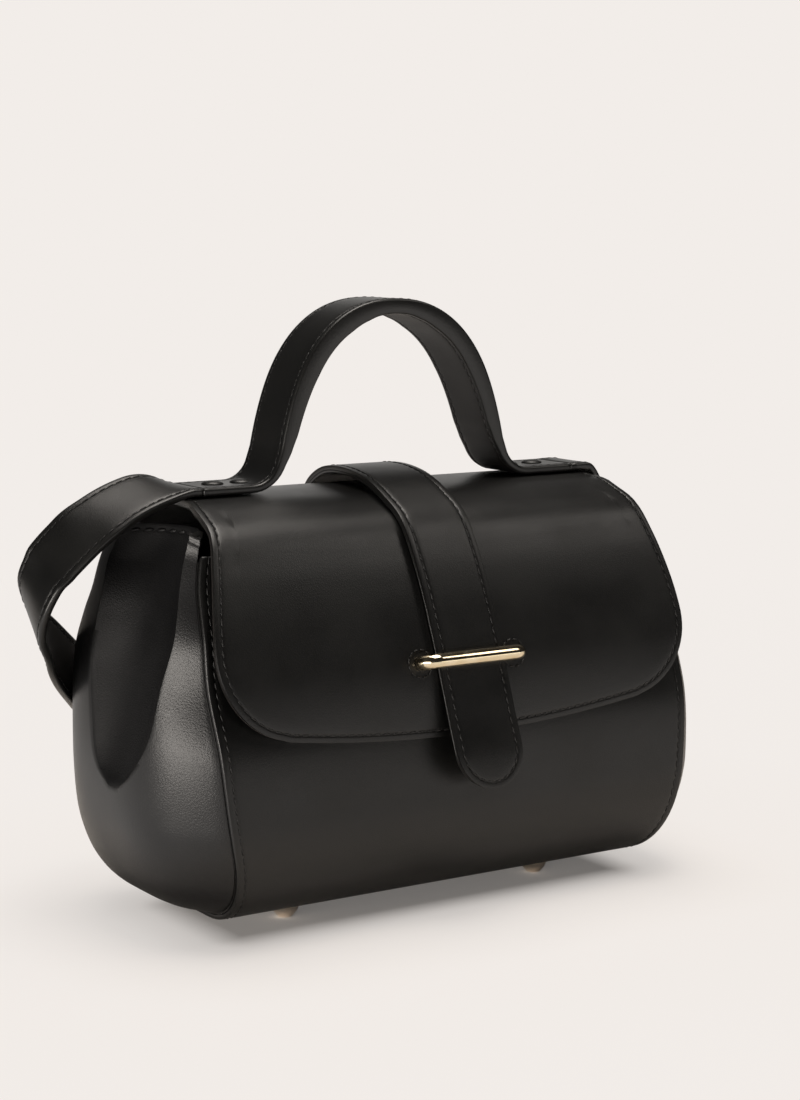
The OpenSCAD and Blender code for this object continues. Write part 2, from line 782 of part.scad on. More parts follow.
cord_ring = [
    [band_w / 2, cord_t / 2 - cord_edge], [band_w / 2 - cord_edge, cord_t / 2],
    [cord_edge - band_w / 2, cord_t / 2], [-band_w / 2, cord_t / 2 - cord_edge],
    [-band_w / 2, cord_edge - cord_t / 2], [cord_edge - band_w / 2, -cord_t / 2],
    [band_w / 2 - cord_edge, -cord_t / 2], [band_w / 2, cord_edge - cord_t / 2]];
function unit(v) = v / norm(v);
function ahead(p, i) = i == 0 || i == len(p) - 1 ? [-1, 0, 0] : unit(p[i + 1] - p[i - 1]);
function cord_frame(i) =
    let (t = ahead(cord_path, i), w = unit(cord_lay[i] - (cord_lay[i] * t) * t))
    [w, cross(w, t)];

module shoulder_strap() {
    n = len(cord_ring);
    last = len(cord_path) - 1;
    points = [for (i = [0:last], q = cord_ring)
        let (f = cord_frame(i)) cord_path[i] + q[0] * f[0] + q[1] * f[1]];
    walls = [for (i = [0:last - 1], k = [0:n - 1])
        let (a = i * n + k, b = i * n + (k + 1) % n)
        each [[a, b, b + n], [a, b + n, a + n]]];
    start = [for (k = [n - 1:-1:0]) k];
    finish = [for (k = [0:n - 1]) last * n + k];
    color("#191919")
        polyhedron(points = points, faces = concat(walls, [start], [finish]));
}

main_panel();
body_lining();
left_gusset();
right_gusset();
base_board();
feet();
foot_nuts();
panel_magnet();
magnet_washer();
shoulder_strap();
flap();
flap_lining();
crest_stiffener();
handle();
handle_lining();
rivets();
rivet_backs();
closure_loop();
loop_plate();
loop_nuts();
flap_magnet();
strap_base();
strap_base_lining();
closure_strap();
closure_strap_lining();
strap_tongue();
strap_tongue_lining();
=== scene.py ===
"""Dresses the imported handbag: leather sheets, stitching, straps, metal fittings and the studio."""

import logging
import math
import random
from bisect import bisect_right
from dataclasses import dataclass, field
from enum import Enum
from typing import Any, Callable, Sequence

import bmesh
import bpy
from mathutils import Matrix, Vector


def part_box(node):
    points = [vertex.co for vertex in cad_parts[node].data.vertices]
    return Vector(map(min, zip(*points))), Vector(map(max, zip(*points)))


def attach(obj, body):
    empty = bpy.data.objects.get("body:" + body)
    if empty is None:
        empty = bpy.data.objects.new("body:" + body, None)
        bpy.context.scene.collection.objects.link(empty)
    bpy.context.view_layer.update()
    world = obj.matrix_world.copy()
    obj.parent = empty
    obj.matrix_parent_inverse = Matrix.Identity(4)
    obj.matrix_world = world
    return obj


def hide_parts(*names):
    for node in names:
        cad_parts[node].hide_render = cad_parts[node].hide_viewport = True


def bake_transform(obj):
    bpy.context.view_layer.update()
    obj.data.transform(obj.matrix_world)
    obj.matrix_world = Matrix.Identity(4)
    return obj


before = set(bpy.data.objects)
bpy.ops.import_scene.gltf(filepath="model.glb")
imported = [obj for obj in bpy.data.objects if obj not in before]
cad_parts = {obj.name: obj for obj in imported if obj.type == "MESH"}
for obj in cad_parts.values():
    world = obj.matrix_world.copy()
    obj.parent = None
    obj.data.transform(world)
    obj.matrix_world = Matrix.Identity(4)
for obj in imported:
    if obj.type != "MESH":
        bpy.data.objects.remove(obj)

Table = Sequence[Sequence[float]]
Mesh = bmesh.types.BMesh
Object = bpy.types.Object
Tree = bpy.types.NodeTree
Socket = bpy.types.NodeSocket
Half = Callable[[float], float]
Run = Sequence[tuple[Vector, Vector]]

LOG = logging.getLogger("handbag")
MM = 0.001
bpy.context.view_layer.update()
FEET_LOW, FEET_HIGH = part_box("feet")
MID_Y = (FEET_LOW.y + FEET_HIGH.y) / 2 / MM
# A point inside the bag, which the outer faces turn away from
INSIDE = Vector((0, 0, 90))
# Room between two glued layers, and how deep stitches sink into flap and bands
GLUE = 0.02
FLAP_SINK, BAND_SINK = 0.12, 0.15


class Slot(Enum):
    """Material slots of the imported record."""

    SMOOTH = "smooth_leather"
    GRAINED = "grained_leather"
    SUEDE = "suede"
    GOLD = "pale_gold"
    BLACK = "black_metal"


class Body(Enum):
    """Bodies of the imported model."""

    BAG = "bag"
    FLAP = "flap"
    STRAP = "closing_strap"


# Curves


def clamp(share: float) -> float:
    """Holds a share between nothing and all."""
    return min(1.0, max(0.0, share))


def lookup(key: float, table: Table) -> float:
    """Reads a table of (key, value) rows with straight lines between them.

    Args:
        key: Where to read.
        table: Rows in rising order of their keys.

    Returns:
        The value there, held at the ends.
    """
    k = min(max(bisect_right([row[0] for row in table], key) - 1, 0), len(table) - 2)
    (a, low), (b, high) = table[k], table[k + 1]
    return low + (high - low) * clamp((key - a) / (b - a))


def curve(points: Table, steps: int) -> list[Vector]:
    """Runs a smooth curve through points.

    Args:
        points: The points, in two or three dimensions.
        steps: Stretches between two points.

    Returns:
        The curve's own points, the given ones among them.
    """
    p = [Vector(q) for q in points]
    last = len(p) - 1
    found = []
    for i in range(last):
        a, b, c, d = p[max(i - 1, 0)], p[i], p[i + 1], p[min(i + 2, last)]
        for k in range(steps):
            t = k / steps
            found.append(0.5 * (2 * b + (c - a) * t + (2 * a - 5 * b + 4 * c - d) * t * t
                                + (3 * b - a - 3 * c + d) * t * t * t))
    return found + [p[last]]


class Path:
    """A line through points in a plane, addressed by its length."""

    def __init__(self, points: Sequence[Vector]) -> None:
        """Measures the line through the points."""
        self.points = [Vector(p) for p in points]
        self.marks = [0.0]
        for a, b in zip(self.points, self.points[1:]):
            self.marks.append(self.marks[-1] + (b - a).length)

    @property
    def length(self) -> float:
        """Gives the whole length."""
        return self.marks[-1]

    def at(self, s: float) -> Vector:
        """Gives the point at a length from the start."""
        k = min(max(bisect_right(self.marks, s) - 1, 0), len(self.marks) - 2)
        t = (s - self.marks[k]) / (self.marks[k + 1] - self.marks[k])
        return self.points[k].lerp(self.points[k + 1], t)

    def ahead(self, s: float, reach: float = 1.5) -> Vector:
        """Gives the direction at a length from the start."""
        low, high = max(0.0, s - reach), min(self.length, s + reach)
        return (self.at(high) - self.at(low)).normalized()

    def out(self, s: float) -> Vector:
        """Gives the direction out of the bag, to the right of the way ahead."""
        d = self.ahead(s)
        return Vector((d.y, -d.x))

    def up(self, s: float) -> Vector:
        """Gives the direction out of the bag, in space."""
        return Vector((0, *self.out(s)))

    def over(self, x: float, s: float, h: float) -> Vector:
        """Gives a place in space, from across, along and height over the line."""
        p, n = self.at(s), self.out(s)
        return Vector((x, p.x + n.x * h, p.y + n.y * h))

    def length_at(self, height: float) -> float:
        """Gives the last length at which a line that comes down passes a height."""
        for k in range(len(self.points) - 1, 0, -1):
            a, b = self.points[k - 1], self.points[k]
            if b.y <= height <= a.y:
                low, high = self.marks[k - 1], self.marks[k]
                return low + (high - low) * (a.y - height) / (a.y - b.y)
        return self.length

    def steps(self, start: float, stop: float, pitch: float) -> list[float]:
        """Gives even lengths from start to stop, about a pitch apart."""
        n = max(1, round((stop - start) / pitch))
        return [start + (stop - start) * k / n for k in range(n + 1)]


# The bag's form, in millimetres, in the body's own frame


@dataclass(frozen=True)
class Form:
    """Side and front views that the leather pieces share."""

    half_w: float = 131.0
    half_d: float = 70.0
    base_z: float = 9.0
    corner_r: float = 40.0
    hem_z: float = 183.0
    crest_z: float = 198.5
    hinge_z: float = 174.5
    handle_back: float = 11.0
    flap_edge_z: float = 88.5
    flap_bow: float = 7.0
    flap_corner_r: float = 38.0
    flap_side_in: float = 1.5
    flap_taper: float = 12.5
    flap_t: float = 2.2
    flap_lining_t: float = 1.4
    fine: int = 16
    hinge_at: int = 5

    def width_table(self) -> list[Vector]:
        """Gives half the width between the seams by height."""
        w, h = self.half_w, self.hem_z
        return curve([(self.base_z, w - 13), (self.base_z + 27, w - 8), (self.base_z + 50, w - 3.8),
                      (self.base_z + 82, w - 1), (h - 53, w), (h - 23, w - 2.5), (h - 3, w - 7),
                      (self.crest_z, w - 10.5), (self.crest_z + 10, w - 10.5)], 8)

    def front(self) -> list[Vector]:
        """Gives the front from the bottom's turn up to its top edge, as (y, z)."""
        d, low = self.half_d, self.base_z + self.corner_r
        rise = self.hem_z - 6 - low
        return curve([(-d, low), (-d, low + 0.08 * rise), (-d + 3.4, low + 0.33 * rise),
                      (-d + 13, low + 0.555 * rise), (-d + 17, low + 0.72 * rise),
                      (-d + 26, low + 0.89 * rise), (-d + 30, low + rise)], self.fine)

    def wrap(self) -> list[Vector]:
        """Gives the back, the crest and the flap's front, as (y, z)."""
        d, c, hb = self.half_d, self.crest_z, self.handle_back
        low, top, drop = self.base_z + self.corner_r, self.hinge_z, self.crest_z - self.flap_edge_z
        back = [(d, low), (d + 1, low + 36), (d, top - 52), (d - 8, top - 30), (d - 14, top - 18),
                (d - 17.5, top)]
        crest = [(d - 29, c - 8.5), (hb + 18, c - 1.4), (hb + 3, c), (hb - 14, c - 0.6),
                 (53 - d, c - 2.5)]
        brow = [(42, 0.06), (33.5, 0.096), (27.5, 0.15), (23, 0.223), (18.5, 0.305), (12.5, 0.44),
                (7.5, 0.578), (3.5, 0.7), (0.5, 0.855)]
        face = [(y - d, c - share * drop) for y, share in brow]
        edge = [(-d - 1, self.flap_edge_z - 4), (-d - 1.5, 60.0)]
        return curve(back + crest + face + edge, self.fine)

    def body_path(self) -> Path:
        """Gives the panel's line: down the front, under the base and up the back to the hinge."""
        flat, top = self.half_d - self.corner_r, self.base_z + self.corner_r
        turn = [(self.corner_r * math.sin(a), top - self.corner_r * math.cos(a))
                for a in map(math.radians, range(0, 90, 3))]
        front_turn = [Vector((-flat - y, z)) for y, z in reversed(turn)]
        back_turn = [Vector((flat + y, z)) for y, z in turn]
        front, back = self.front()[::-1], self.wrap()[:self.hinge_at * self.fine + 1]
        return Path(front + front_turn + back_turn + back)

    def flap_path(self) -> Path:
        """Gives the flap's line: from the hinge over the crest and down the front."""
        return Path(self.wrap()[self.hinge_at * self.fine:])

    @property
    def flap_turn_z(self) -> float:
        """Gives the height at which the flap's lower corners start."""
        return self.flap_edge_z + self.flap_bow + self.flap_corner_r

    @property
    def flap_side_w(self) -> float:
        """Gives the flap's half width at its lower corners."""
        return self.half_w - self.flap_side_in

    @property
    def flap_top_z(self) -> float:
        """Gives the height under the flap's layers at the crest."""
        return self.crest_z - self.flap_t - self.flap_lining_t - 1

    def flap_half(self, z: float) -> float:
        """Gives the flap's half width on its front at a height."""
        share = clamp((z - self.flap_turn_z) / (self.flap_top_z - self.flap_turn_z))
        return self.flap_side_w - self.flap_taper * share ** 1.4


FORM = Form()
WIDTHS = FORM.width_table()
BODY_PATH = FORM.body_path()
FLAP_PATH = FORM.flap_path()


def seam_half(z: float) -> float:
    """Gives half the width between the seams at a height."""
    return lookup(z, WIDTHS)


# Sewn edges: how far in from the edge, and how the skin stands there
SEWN_EDGE = ((0.0, -0.08), (1.25, 0.0), (2.1, 0.0), (2.55, -0.06), (2.85, -0.2), (3.2, -0.3),
             (3.55, -0.2), (3.85, -0.06), (4.4, 0.0), (6.0, 0.05), (9.0, 0.03), (13.0, 0.0))
STITCH_IN = 3.2
EDGE_ROUND = 1.1


def across(half: float, inner: int, edge: Table = SEWN_EDGE) -> list[tuple[float, float]]:
    """Spreads columns over a width that is sewn at both sides.

    Args:
        half: Half the width.
        inner: Stretches between the two sewn edges.
        edge: Rows of distance from the edge and height of the skin.

    Returns:
        Rows of place across the width and height of the skin.
    """
    left = [(d - half, h) for d, h in edge]
    reach = half - edge[-1][0]
    middle = [(reach * (2 * k / inner - 1), 0.0) for k in range(1, inner)]
    return left + middle + [(-x, h) for x, h in reversed(left)]


# Finishes

# The part of a noise pattern's range that is spread between two looks
CLOUD_SPAN = (0.3, 0.7)


def linear(code: str) -> tuple[float, float, float, float]:
    """Turns an sRGB hex value to a linear colour."""
    parts = [int(code[k:k + 2], 16) / 255 for k in (1, 3, 5)]
    return (*[v / 12.92 if v <= 0.04045 else ((v + 0.055) / 1.055) ** 2.4 for v in parts], 1.0)


def add(tree: Tree, kind: str, inputs: dict[Any, Any] | None = None,
        **settings: Any) -> bpy.types.Node:
    """Adds a node with its settings and links.

    Args:
        tree: The material's nodes.
        kind: The node's type without the word ShaderNode.
        inputs: Values or sockets by input name or number.
        **settings: Properties of the node.

    Returns:
        The new node.
    """
    node = tree.nodes.new("ShaderNode" + kind)
    for key, value in settings.items():
        setattr(node, key, value)
    for key, value in (inputs or {}).items():
        if isinstance(value, Socket):
            tree.links.new(value, node.inputs[key])
        else:
            node.inputs[key].default_value = value
    return node


def noise(tree: Tree, place: Socket, size: float, detail: float) -> Socket:
    """Adds a noise pattern with features of a size in millimetres."""
    inputs = {"Vector": place, "Scale": 1 / (size * MM), "Detail": detail}
    return add(tree, "TexNoise", inputs).outputs[0]


def bump(tree: Tree, height: Socket, strength: float, depth: float) -> Socket:
    """Adds relief of a depth in millimetres."""
    inputs = {"Height": height, "Strength": strength, "Distance": depth * MM}
    return add(tree, "Bump", inputs).outputs[0]


def maths(tree: Tree, operation: str, *values: Any) -> Socket:
    """Adds a step of arithmetic on numbers or sockets."""
    return add(tree, "Math", dict(enumerate(values)), operation=operation).outputs[0]


def vectors(tree: Tree, operation: str, *values: Any) -> Socket:
    """Adds a step of arithmetic on vectors."""
    node = add(tree, "VectorMath", dict(enumerate(values)), operation=operation)
    return node.outputs["Value" if operation in ("LENGTH", "DISTANCE", "DOT_PRODUCT") else "Vector"]


def remap(tree: Tree, value: Socket, span: Sequence[float], to: Sequence[float] = (0.0, 1.0),
          smooth: bool = False) -> Socket:
    """Maps a stretch of values to another one.

    Args:
        tree: The material's nodes.
        value: The value.
        span: Ends of the stretch that it comes from.
        to: Ends of the stretch that it goes to.
        smooth: Whether the ends are eased.

    Returns:
        The mapped value.
    """
    ends = {"From Min": span[0], "From Max": span[1], "To Min": to[0], "To Max": to[1]}
    kind = "SMOOTHSTEP" if smooth else "LINEAR"
    return add(tree, "MapRange", {"Value": value, **ends}, interpolation_type=kind).outputs[0]


def shade(tree: Tree, factor: Socket, low: str, high: str,
          span: Sequence[float] = CLOUD_SPAN) -> Socket:
    """Spreads a pattern between two colours.

    Args:
        tree: The material's nodes.
        factor: The pattern.
        low: Hex value at the pattern's low end.
        high: Hex value at the pattern's high end.
        span: Where the two ends lie.

    Returns:
        The colour socket.
    """
    ramp = add(tree, "ValToRGB", {"Fac": factor})
    for stop, place, code in zip(ramp.color_ramp.elements, span, (low, high)):
        stop.position = place
        stop.color = linear(code)
    return ramp.outputs["Color"]


def start(name: str) -> tuple[bpy.types.Material, Tree, Socket]:
    """Starts a node material.

    Args:
        name: The real material's name.

    Returns:
        The material, its empty tree and the object's own coordinates in metres.
    """
    material = bpy.data.materials.new(name)
    material.use_nodes = True
    tree = material.node_tree
    tree.nodes.clear()
    return material, tree, add(tree, "TexCoord").outputs["Object"]


def close(tree: Tree, inputs: dict[str, Any]) -> None:
    """Ends a material in one Principled shader with these inputs."""
    shader = add(tree, "BsdfPrincipled", inputs)
    add(tree, "OutputMaterial", {"Surface": shader.outputs["BSDF"]})


@dataclass(frozen=True)
class Leather:
    """Finished calf leather: a dark dye under a satin top coat, with fine pores and creases."""

    name: str
    deep: str
    high: str
    roughness: tuple[float, float]
    pore_mm: float
    pore_depth: float
    cloud_mm: float = 38.0
    ior: float = 1.5

    def make(self) -> bpy.types.Material:
        """Makes the material: pores as small cells, slow clouds in colour and gloss."""
        material, tree, place = start(self.name)
        cloud = noise(tree, place, self.cloud_mm, 4.0)
        pores = add(tree, "TexVoronoi", {"Vector": place, "Scale": 1 / (self.pore_mm * MM),
                                         "Randomness": 1.0}, feature="DISTANCE_TO_EDGE")
        skin = maths(tree, "ADD", remap(tree, pores.outputs[0], (0.0, 0.25)),
                     noise(tree, place, self.pore_mm / 2.2, 3.0))
        close(tree, {"Base Color": shade(tree, cloud, self.deep, self.high), "IOR": self.ior,
                     "Roughness": remap(tree, cloud, CLOUD_SPAN, self.roughness),
                     "Normal": bump(tree, skin, self.pore_depth, 0.2)})
        return material


@dataclass(frozen=True)
class Nap:
    """Brushed suede or pressed board: no gloss, a short nap and mixed fibres."""

    name: str
    deep: str
    high: str
    fibre_mm: float
    sheen: float
    cloud_mm: float = 22.0

    def make(self) -> bpy.types.Material:
        """Makes the material: fine fibres over slow clouds, with sheen for a nap."""
        material, tree, place = start(self.name)
        fibre = noise(tree, place, self.fibre_mm, 6.0)
        both = maths(tree, "MULTIPLY", fibre, noise(tree, place, self.cloud_mm, 2.0))
        close(tree, {"Base Color": shade(tree, both, self.deep, self.high, (0.12, 0.4)),
                     "Roughness": 0.92, "Sheen Weight": self.sheen,
                     "Normal": bump(tree, fibre, 0.35, 0.3)})
        return material


@dataclass(frozen=True)
class Metal:
    """Plated or lacquered metal: even gloss with faint handling marks."""

    name: str
    deep: str
    high: str
    roughness: tuple[float, float]
    metallic: float
    cloud_mm: float = 6.0
    scratch_mm: float = 0.4

    def make(self) -> bpy.types.Material:
        """Makes the material: soft clouds in gloss and faint fine scratches."""
        material, tree, place = start(self.name)
        cloud = noise(tree, place, self.cloud_mm, 5.0)
        drawn = add(tree, "Mapping", {"Vector": place, "Scale": (0.06, 1.0, 1.0)})
        marks = noise(tree, drawn.outputs[0], self.scratch_mm, 2.0)
        close(tree, {"Base Color": shade(tree, cloud, self.deep, self.high),
                     "Metallic": self.metallic,
                     "Roughness": remap(tree, cloud, CLOUD_SPAN, self.roughness),
                     "Normal": bump(tree, marks, 0.02, 0.1)})
        return material


@dataclass(frozen=True)
class Thread:
    """Waxed sewing thread: twisted plies, a little paler than the leather."""

    name: str = "waxed thread"
    deep: str = "#070707"
    high: str = "#131212"
    ply_mm: float = 7.0

    def make(self) -> bpy.types.Material:
        """Makes the material: plies as fine bands across each stitch."""
        material, tree, place = start(self.name)
        ply = add(tree, "TexWave", {"Vector": place, "Scale": 1 / (self.ply_mm * MM),
                                    "Distortion": 2.0}).outputs["Fac"]
        close(tree, {"Base Color": shade(tree, ply, self.deep, self.high, (0.2, 0.8)),
                     "Roughness": 0.5, "Normal": bump(tree, ply, 0.3, 0.2)})
        return material


class Finishes:
    """Every finish of the bag, made once."""

    def __init__(self) -> None:
        """Makes the materials."""
        # Smooth box calf: nearly flat skin, soft broad gloss
        self.smooth = Leather("smooth calf leather", "#080808", "#0D0D0C",
                              (0.34, 0.42), 1.1, 0.10).make()
        # Moulded calf: wet-formed, so its pores stay open, then rubbed to a gloss
        self.grained = Leather("moulded calf leather", "#09090A", "#0F0F10",
                               (0.33, 0.41), 1.3, 0.13).make()
        # The same calf down in the dimple, where the rubbing doesn't reach: duller, with open grain
        self.hollow = Leather("unpolished calf leather", "#0A0A0B", "#121213",
                              (0.48, 0.56), 1.2, 0.3, ior=1.3).make()
        # Edge paint: thick, even, rubbed to a low gloss; a shade paler than the leather, partly the
        # paint's own tone and partly a painted highlight for the light that catches the edges
        self.edge = Leather("edge paint with painted rim light", "#101010", "#181817", (0.30, 0.36), 2.4, 0.05).make()
        # Lining calf: thinner and unpolished, so it stays duller than the outside
        self.inner = Leather("lining calf leather", "#0C0B0A", "#141211", (0.52, 0.62), 1.2, 0.12,
                             ior=1.35).make()
        self.suede = Nap("split suede", "#171312", "#2B2422", 0.9, 0.35).make()
        self.board = Nap("leather fibre board", "#3A2C20", "#5E4934", 1.6, 0.0).make()
        self.gold = Metal("pale gold plating", "#E4D2AE", "#EFE0C3", (0.10, 0.16), 1.0).make()
        # Foot studs: the same plating, painted paler than the loop's: the pale colour is a painted
        # reflection that stands in for the bright glints of floor light on them
        self.glint_pale_gold = Metal("gold plating painted pale for glints", "#F3E9DD", "#FAF3EA", (0.14, 0.22), 1.0).make()
        self.steel = Metal("nickel plated steel", "#A9A59C", "#BDB9B0", (0.26, 0.36), 1.0).make()
        self.lacquer = Metal("black lacquer on steel", "#0B0B0B", "#121212",
                             (0.38, 0.46), 0.0).make()
        self.thread = Thread().make()


# Mesh tools


def grid(columns: int, rows: int, place: Callable[[int, int], Vector]) -> Mesh:
    """Makes a sheet from a flat grid.

    Args:
        columns: Number of points across.
        rows: Number of points along.
        place: Gives each point's place from its column and row, in millimetres.

    Returns:
        The sheet.
    """
    bm = bmesh.new()
    bmesh.ops.create_grid(bm, x_segments=columns - 1, y_segments=rows - 1, size=1.0)
    for vert in bm.verts:
        i = round((vert.co.x + 1) / 2 * (columns - 1))
        j = round((vert.co.y + 1) / 2 * (rows - 1))
        vert.co = place(i, j)
    return bm


def face_out(bm: Mesh) -> None:
    """Turns all faces of an open sheet away from the bag's inside."""
    bm.normal_update()
    lean = sum((f.calc_center_median() - INSIDE).dot(f.normal) * f.calc_area() for f in bm.faces)
    if lean < 0:
        bmesh.ops.reverse_faces(bm, faces=bm.faces[:])


@dataclass
class Tongue:
    """A sheet with two straight sides and a shaped lower end.

    Its rows are lengths along the straight sides, from the top to the lower end's start. The lower
    end runs from left to right: across, along, and the direction inward.
    """

    rows: Sequence[float]
    half: Half
    lower: Table

    def sheet(self, edge: Table, place: Callable[[float, float, float], Vector]) -> Mesh:
        """Makes the sheet, in rings along its edge.

        Args:
            edge: Rows of distance from the edge and height of the skin, from the edge inward.
            place: Gives a point's place from across, along and height.

        Returns:
            The sheet, facing out.
        """
        n, m, depth = len(self.rows) - 1, len(self.lower) - 1, edge[-1][0]
        turn = self.rows[-1]

        def inside(i: int, j: int) -> Vector:
            x, s, nx, ns = self.lower[i]
            x, s = x + depth * nx, s + depth * ns
            along = self.rows[n - j] * s / turn
            taper = (self.half(along) - depth) / (self.half(turn) - depth) if along < turn else 1.0
            return place(x * taper, along, edge[-1][1])

        bm = grid(m + 1, n + 1, inside)
        mark = bm.verts.layers.int.new("rim")
        bm.verts.ensure_lookup_table()
        for k, vert in enumerate(bm.verts):
            i, j = k % (m + 1), n - k // (m + 1)
            if i == 0:
                vert[mark] = j
            elif j == n:
                vert[mark] = n + i
            elif i == m:
                vert[mark] = 2 * n + m - j
            else:
                vert[mark] = -1
            if j == 0 and i not in (0, m):
                vert[mark] = -1
        rim = [e for e in bm.edges if e.is_boundary and all(v[mark] >= 0 for v in e.verts)
               and abs(e.verts[0][mark] - e.verts[1][mark]) == 1]
        for d, h in reversed(edge[:-1]):
            made = bmesh.ops.extrude_edge_only(bm, edges=rim)["geom"]
            fresh = {g for g in made if isinstance(g, bmesh.types.BMVert)}
            for vert in fresh:
                k = vert[mark]
                if k < n:
                    vert.co = place(d - self.half(self.rows[k]), self.rows[k], h)
                elif k <= n + m:
                    x, s, nx, ns = self.lower[k - n]
                    vert.co = place(x + d * nx, s + d * ns, h)
                else:
                    s = self.rows[2 * n + m - k]
                    vert.co = place(self.half(s) - d, s, h)
            rim = [g for g in made if isinstance(g, bmesh.types.BMEdge)
                   and all(v in fresh for v in g.verts)]
        bmesh.ops.recalc_face_normals(bm, faces=bm.faces[:])
        face_out(bm)
        return bm

    def rim(self, inset: float) -> list[tuple[float, float]]:
        """Gives the line inside the edge, from the top left round to the top right."""
        left = [(inset - self.half(s), s) for s in self.rows[:-1]]
        end = [(x + inset * nx, s + inset * ns) for x, s, nx, ns in self.lower]
        return left + end + [(-x, s) for x, s in reversed(left)]


def belt(half: float, rows: int, thick: Callable[[int], float],
         place: Callable[[float, int, float], Vector]) -> Mesh:
    """Makes a band of two sewn layers with rounded, painted edges.

    Args:
        half: Half the band's width.
        rows: Number of sections along it.
        thick: Gives the thickness at a section.
        place: Gives a point's place from across, section and height over the upper face.

    Returns:
        The closed band, with materials for its upper face, its lower face and its edges.
    """
    turn = [(EDGE_ROUND * (1 - math.sin(a)), EDGE_ROUND * (math.cos(a) - 1))
            for a in (math.radians(30), math.radians(60), math.radians(90))]
    face = across(half, 4, [row for row in SEWN_EDGE if EDGE_ROUND < row[0] < 10])
    right = [(half - d, h) for d, h in turn]
    over = [(-x, h) for x, h in reversed(right)] + face + right
    ring = [(x, h, 0) for x, h in over] + [(x, h, 1) for x, h in reversed(over)]
    ring.append(ring[0])
    count = len(ring)

    def spot(i: int, j: int) -> Vector:
        x, h, under = ring[i]
        return place(x, j, -thick(j) - h if under else h)

    bm = grid(count, rows, spot)
    bm.verts.index_update()
    for f in bm.faces:
        i = min(v.index % count for v in f.verts)
        middle = abs(ring[i][0] + ring[i + 1][0]) / 2
        f.material_index = 2 if middle > half - EDGE_ROUND else ring[i][2]
    bmesh.ops.remove_doubles(bm, verts=bm.verts[:], dist=0.0005)
    bmesh.ops.holes_fill(bm, edges=[e for e in bm.edges if e.is_boundary], sides=0)
    bmesh.ops.recalc_face_normals(bm, faces=bm.faces[:])
    return bm


def revolve(profile: Table, centre: Vector, steps: int = 40) -> Mesh:
    """Spins a profile of (radius, height) round an upright axis.

    Args:
        profile: The profile, in millimetres.
        centre: A point on the axis; heights count from it.
        steps: Stretches round the turn.

    Returns:
        The turned shape.
    """
    bm = bmesh.new()
    verts = [bm.verts.new(centre + Vector((r, 0, z))) for r, z in profile]
    edges = [bm.edges.new(pair) for pair in zip(verts, verts[1:])]
    bmesh.ops.spin(bm, geom=verts + edges, cent=centre, axis=(0, 0, 1), dvec=(0, 0, 0),
                   angle=2 * math.pi, steps=steps, use_merge=True)
    bmesh.ops.remove_doubles(bm, verts=bm.verts[:], dist=0.001)
    bmesh.ops.recalc_face_normals(bm, faces=bm.faces[:])
    return bm


def join(parts: Sequence[Mesh]) -> Mesh:
    """Puts several shapes into the first one."""
    whole = parts[0]
    for other in parts[1:]:
        mesh = bpy.data.meshes.new("part")
        other.to_mesh(mesh)
        other.free()
        whole.from_mesh(mesh)
        bpy.data.meshes.remove(mesh)
    return whole


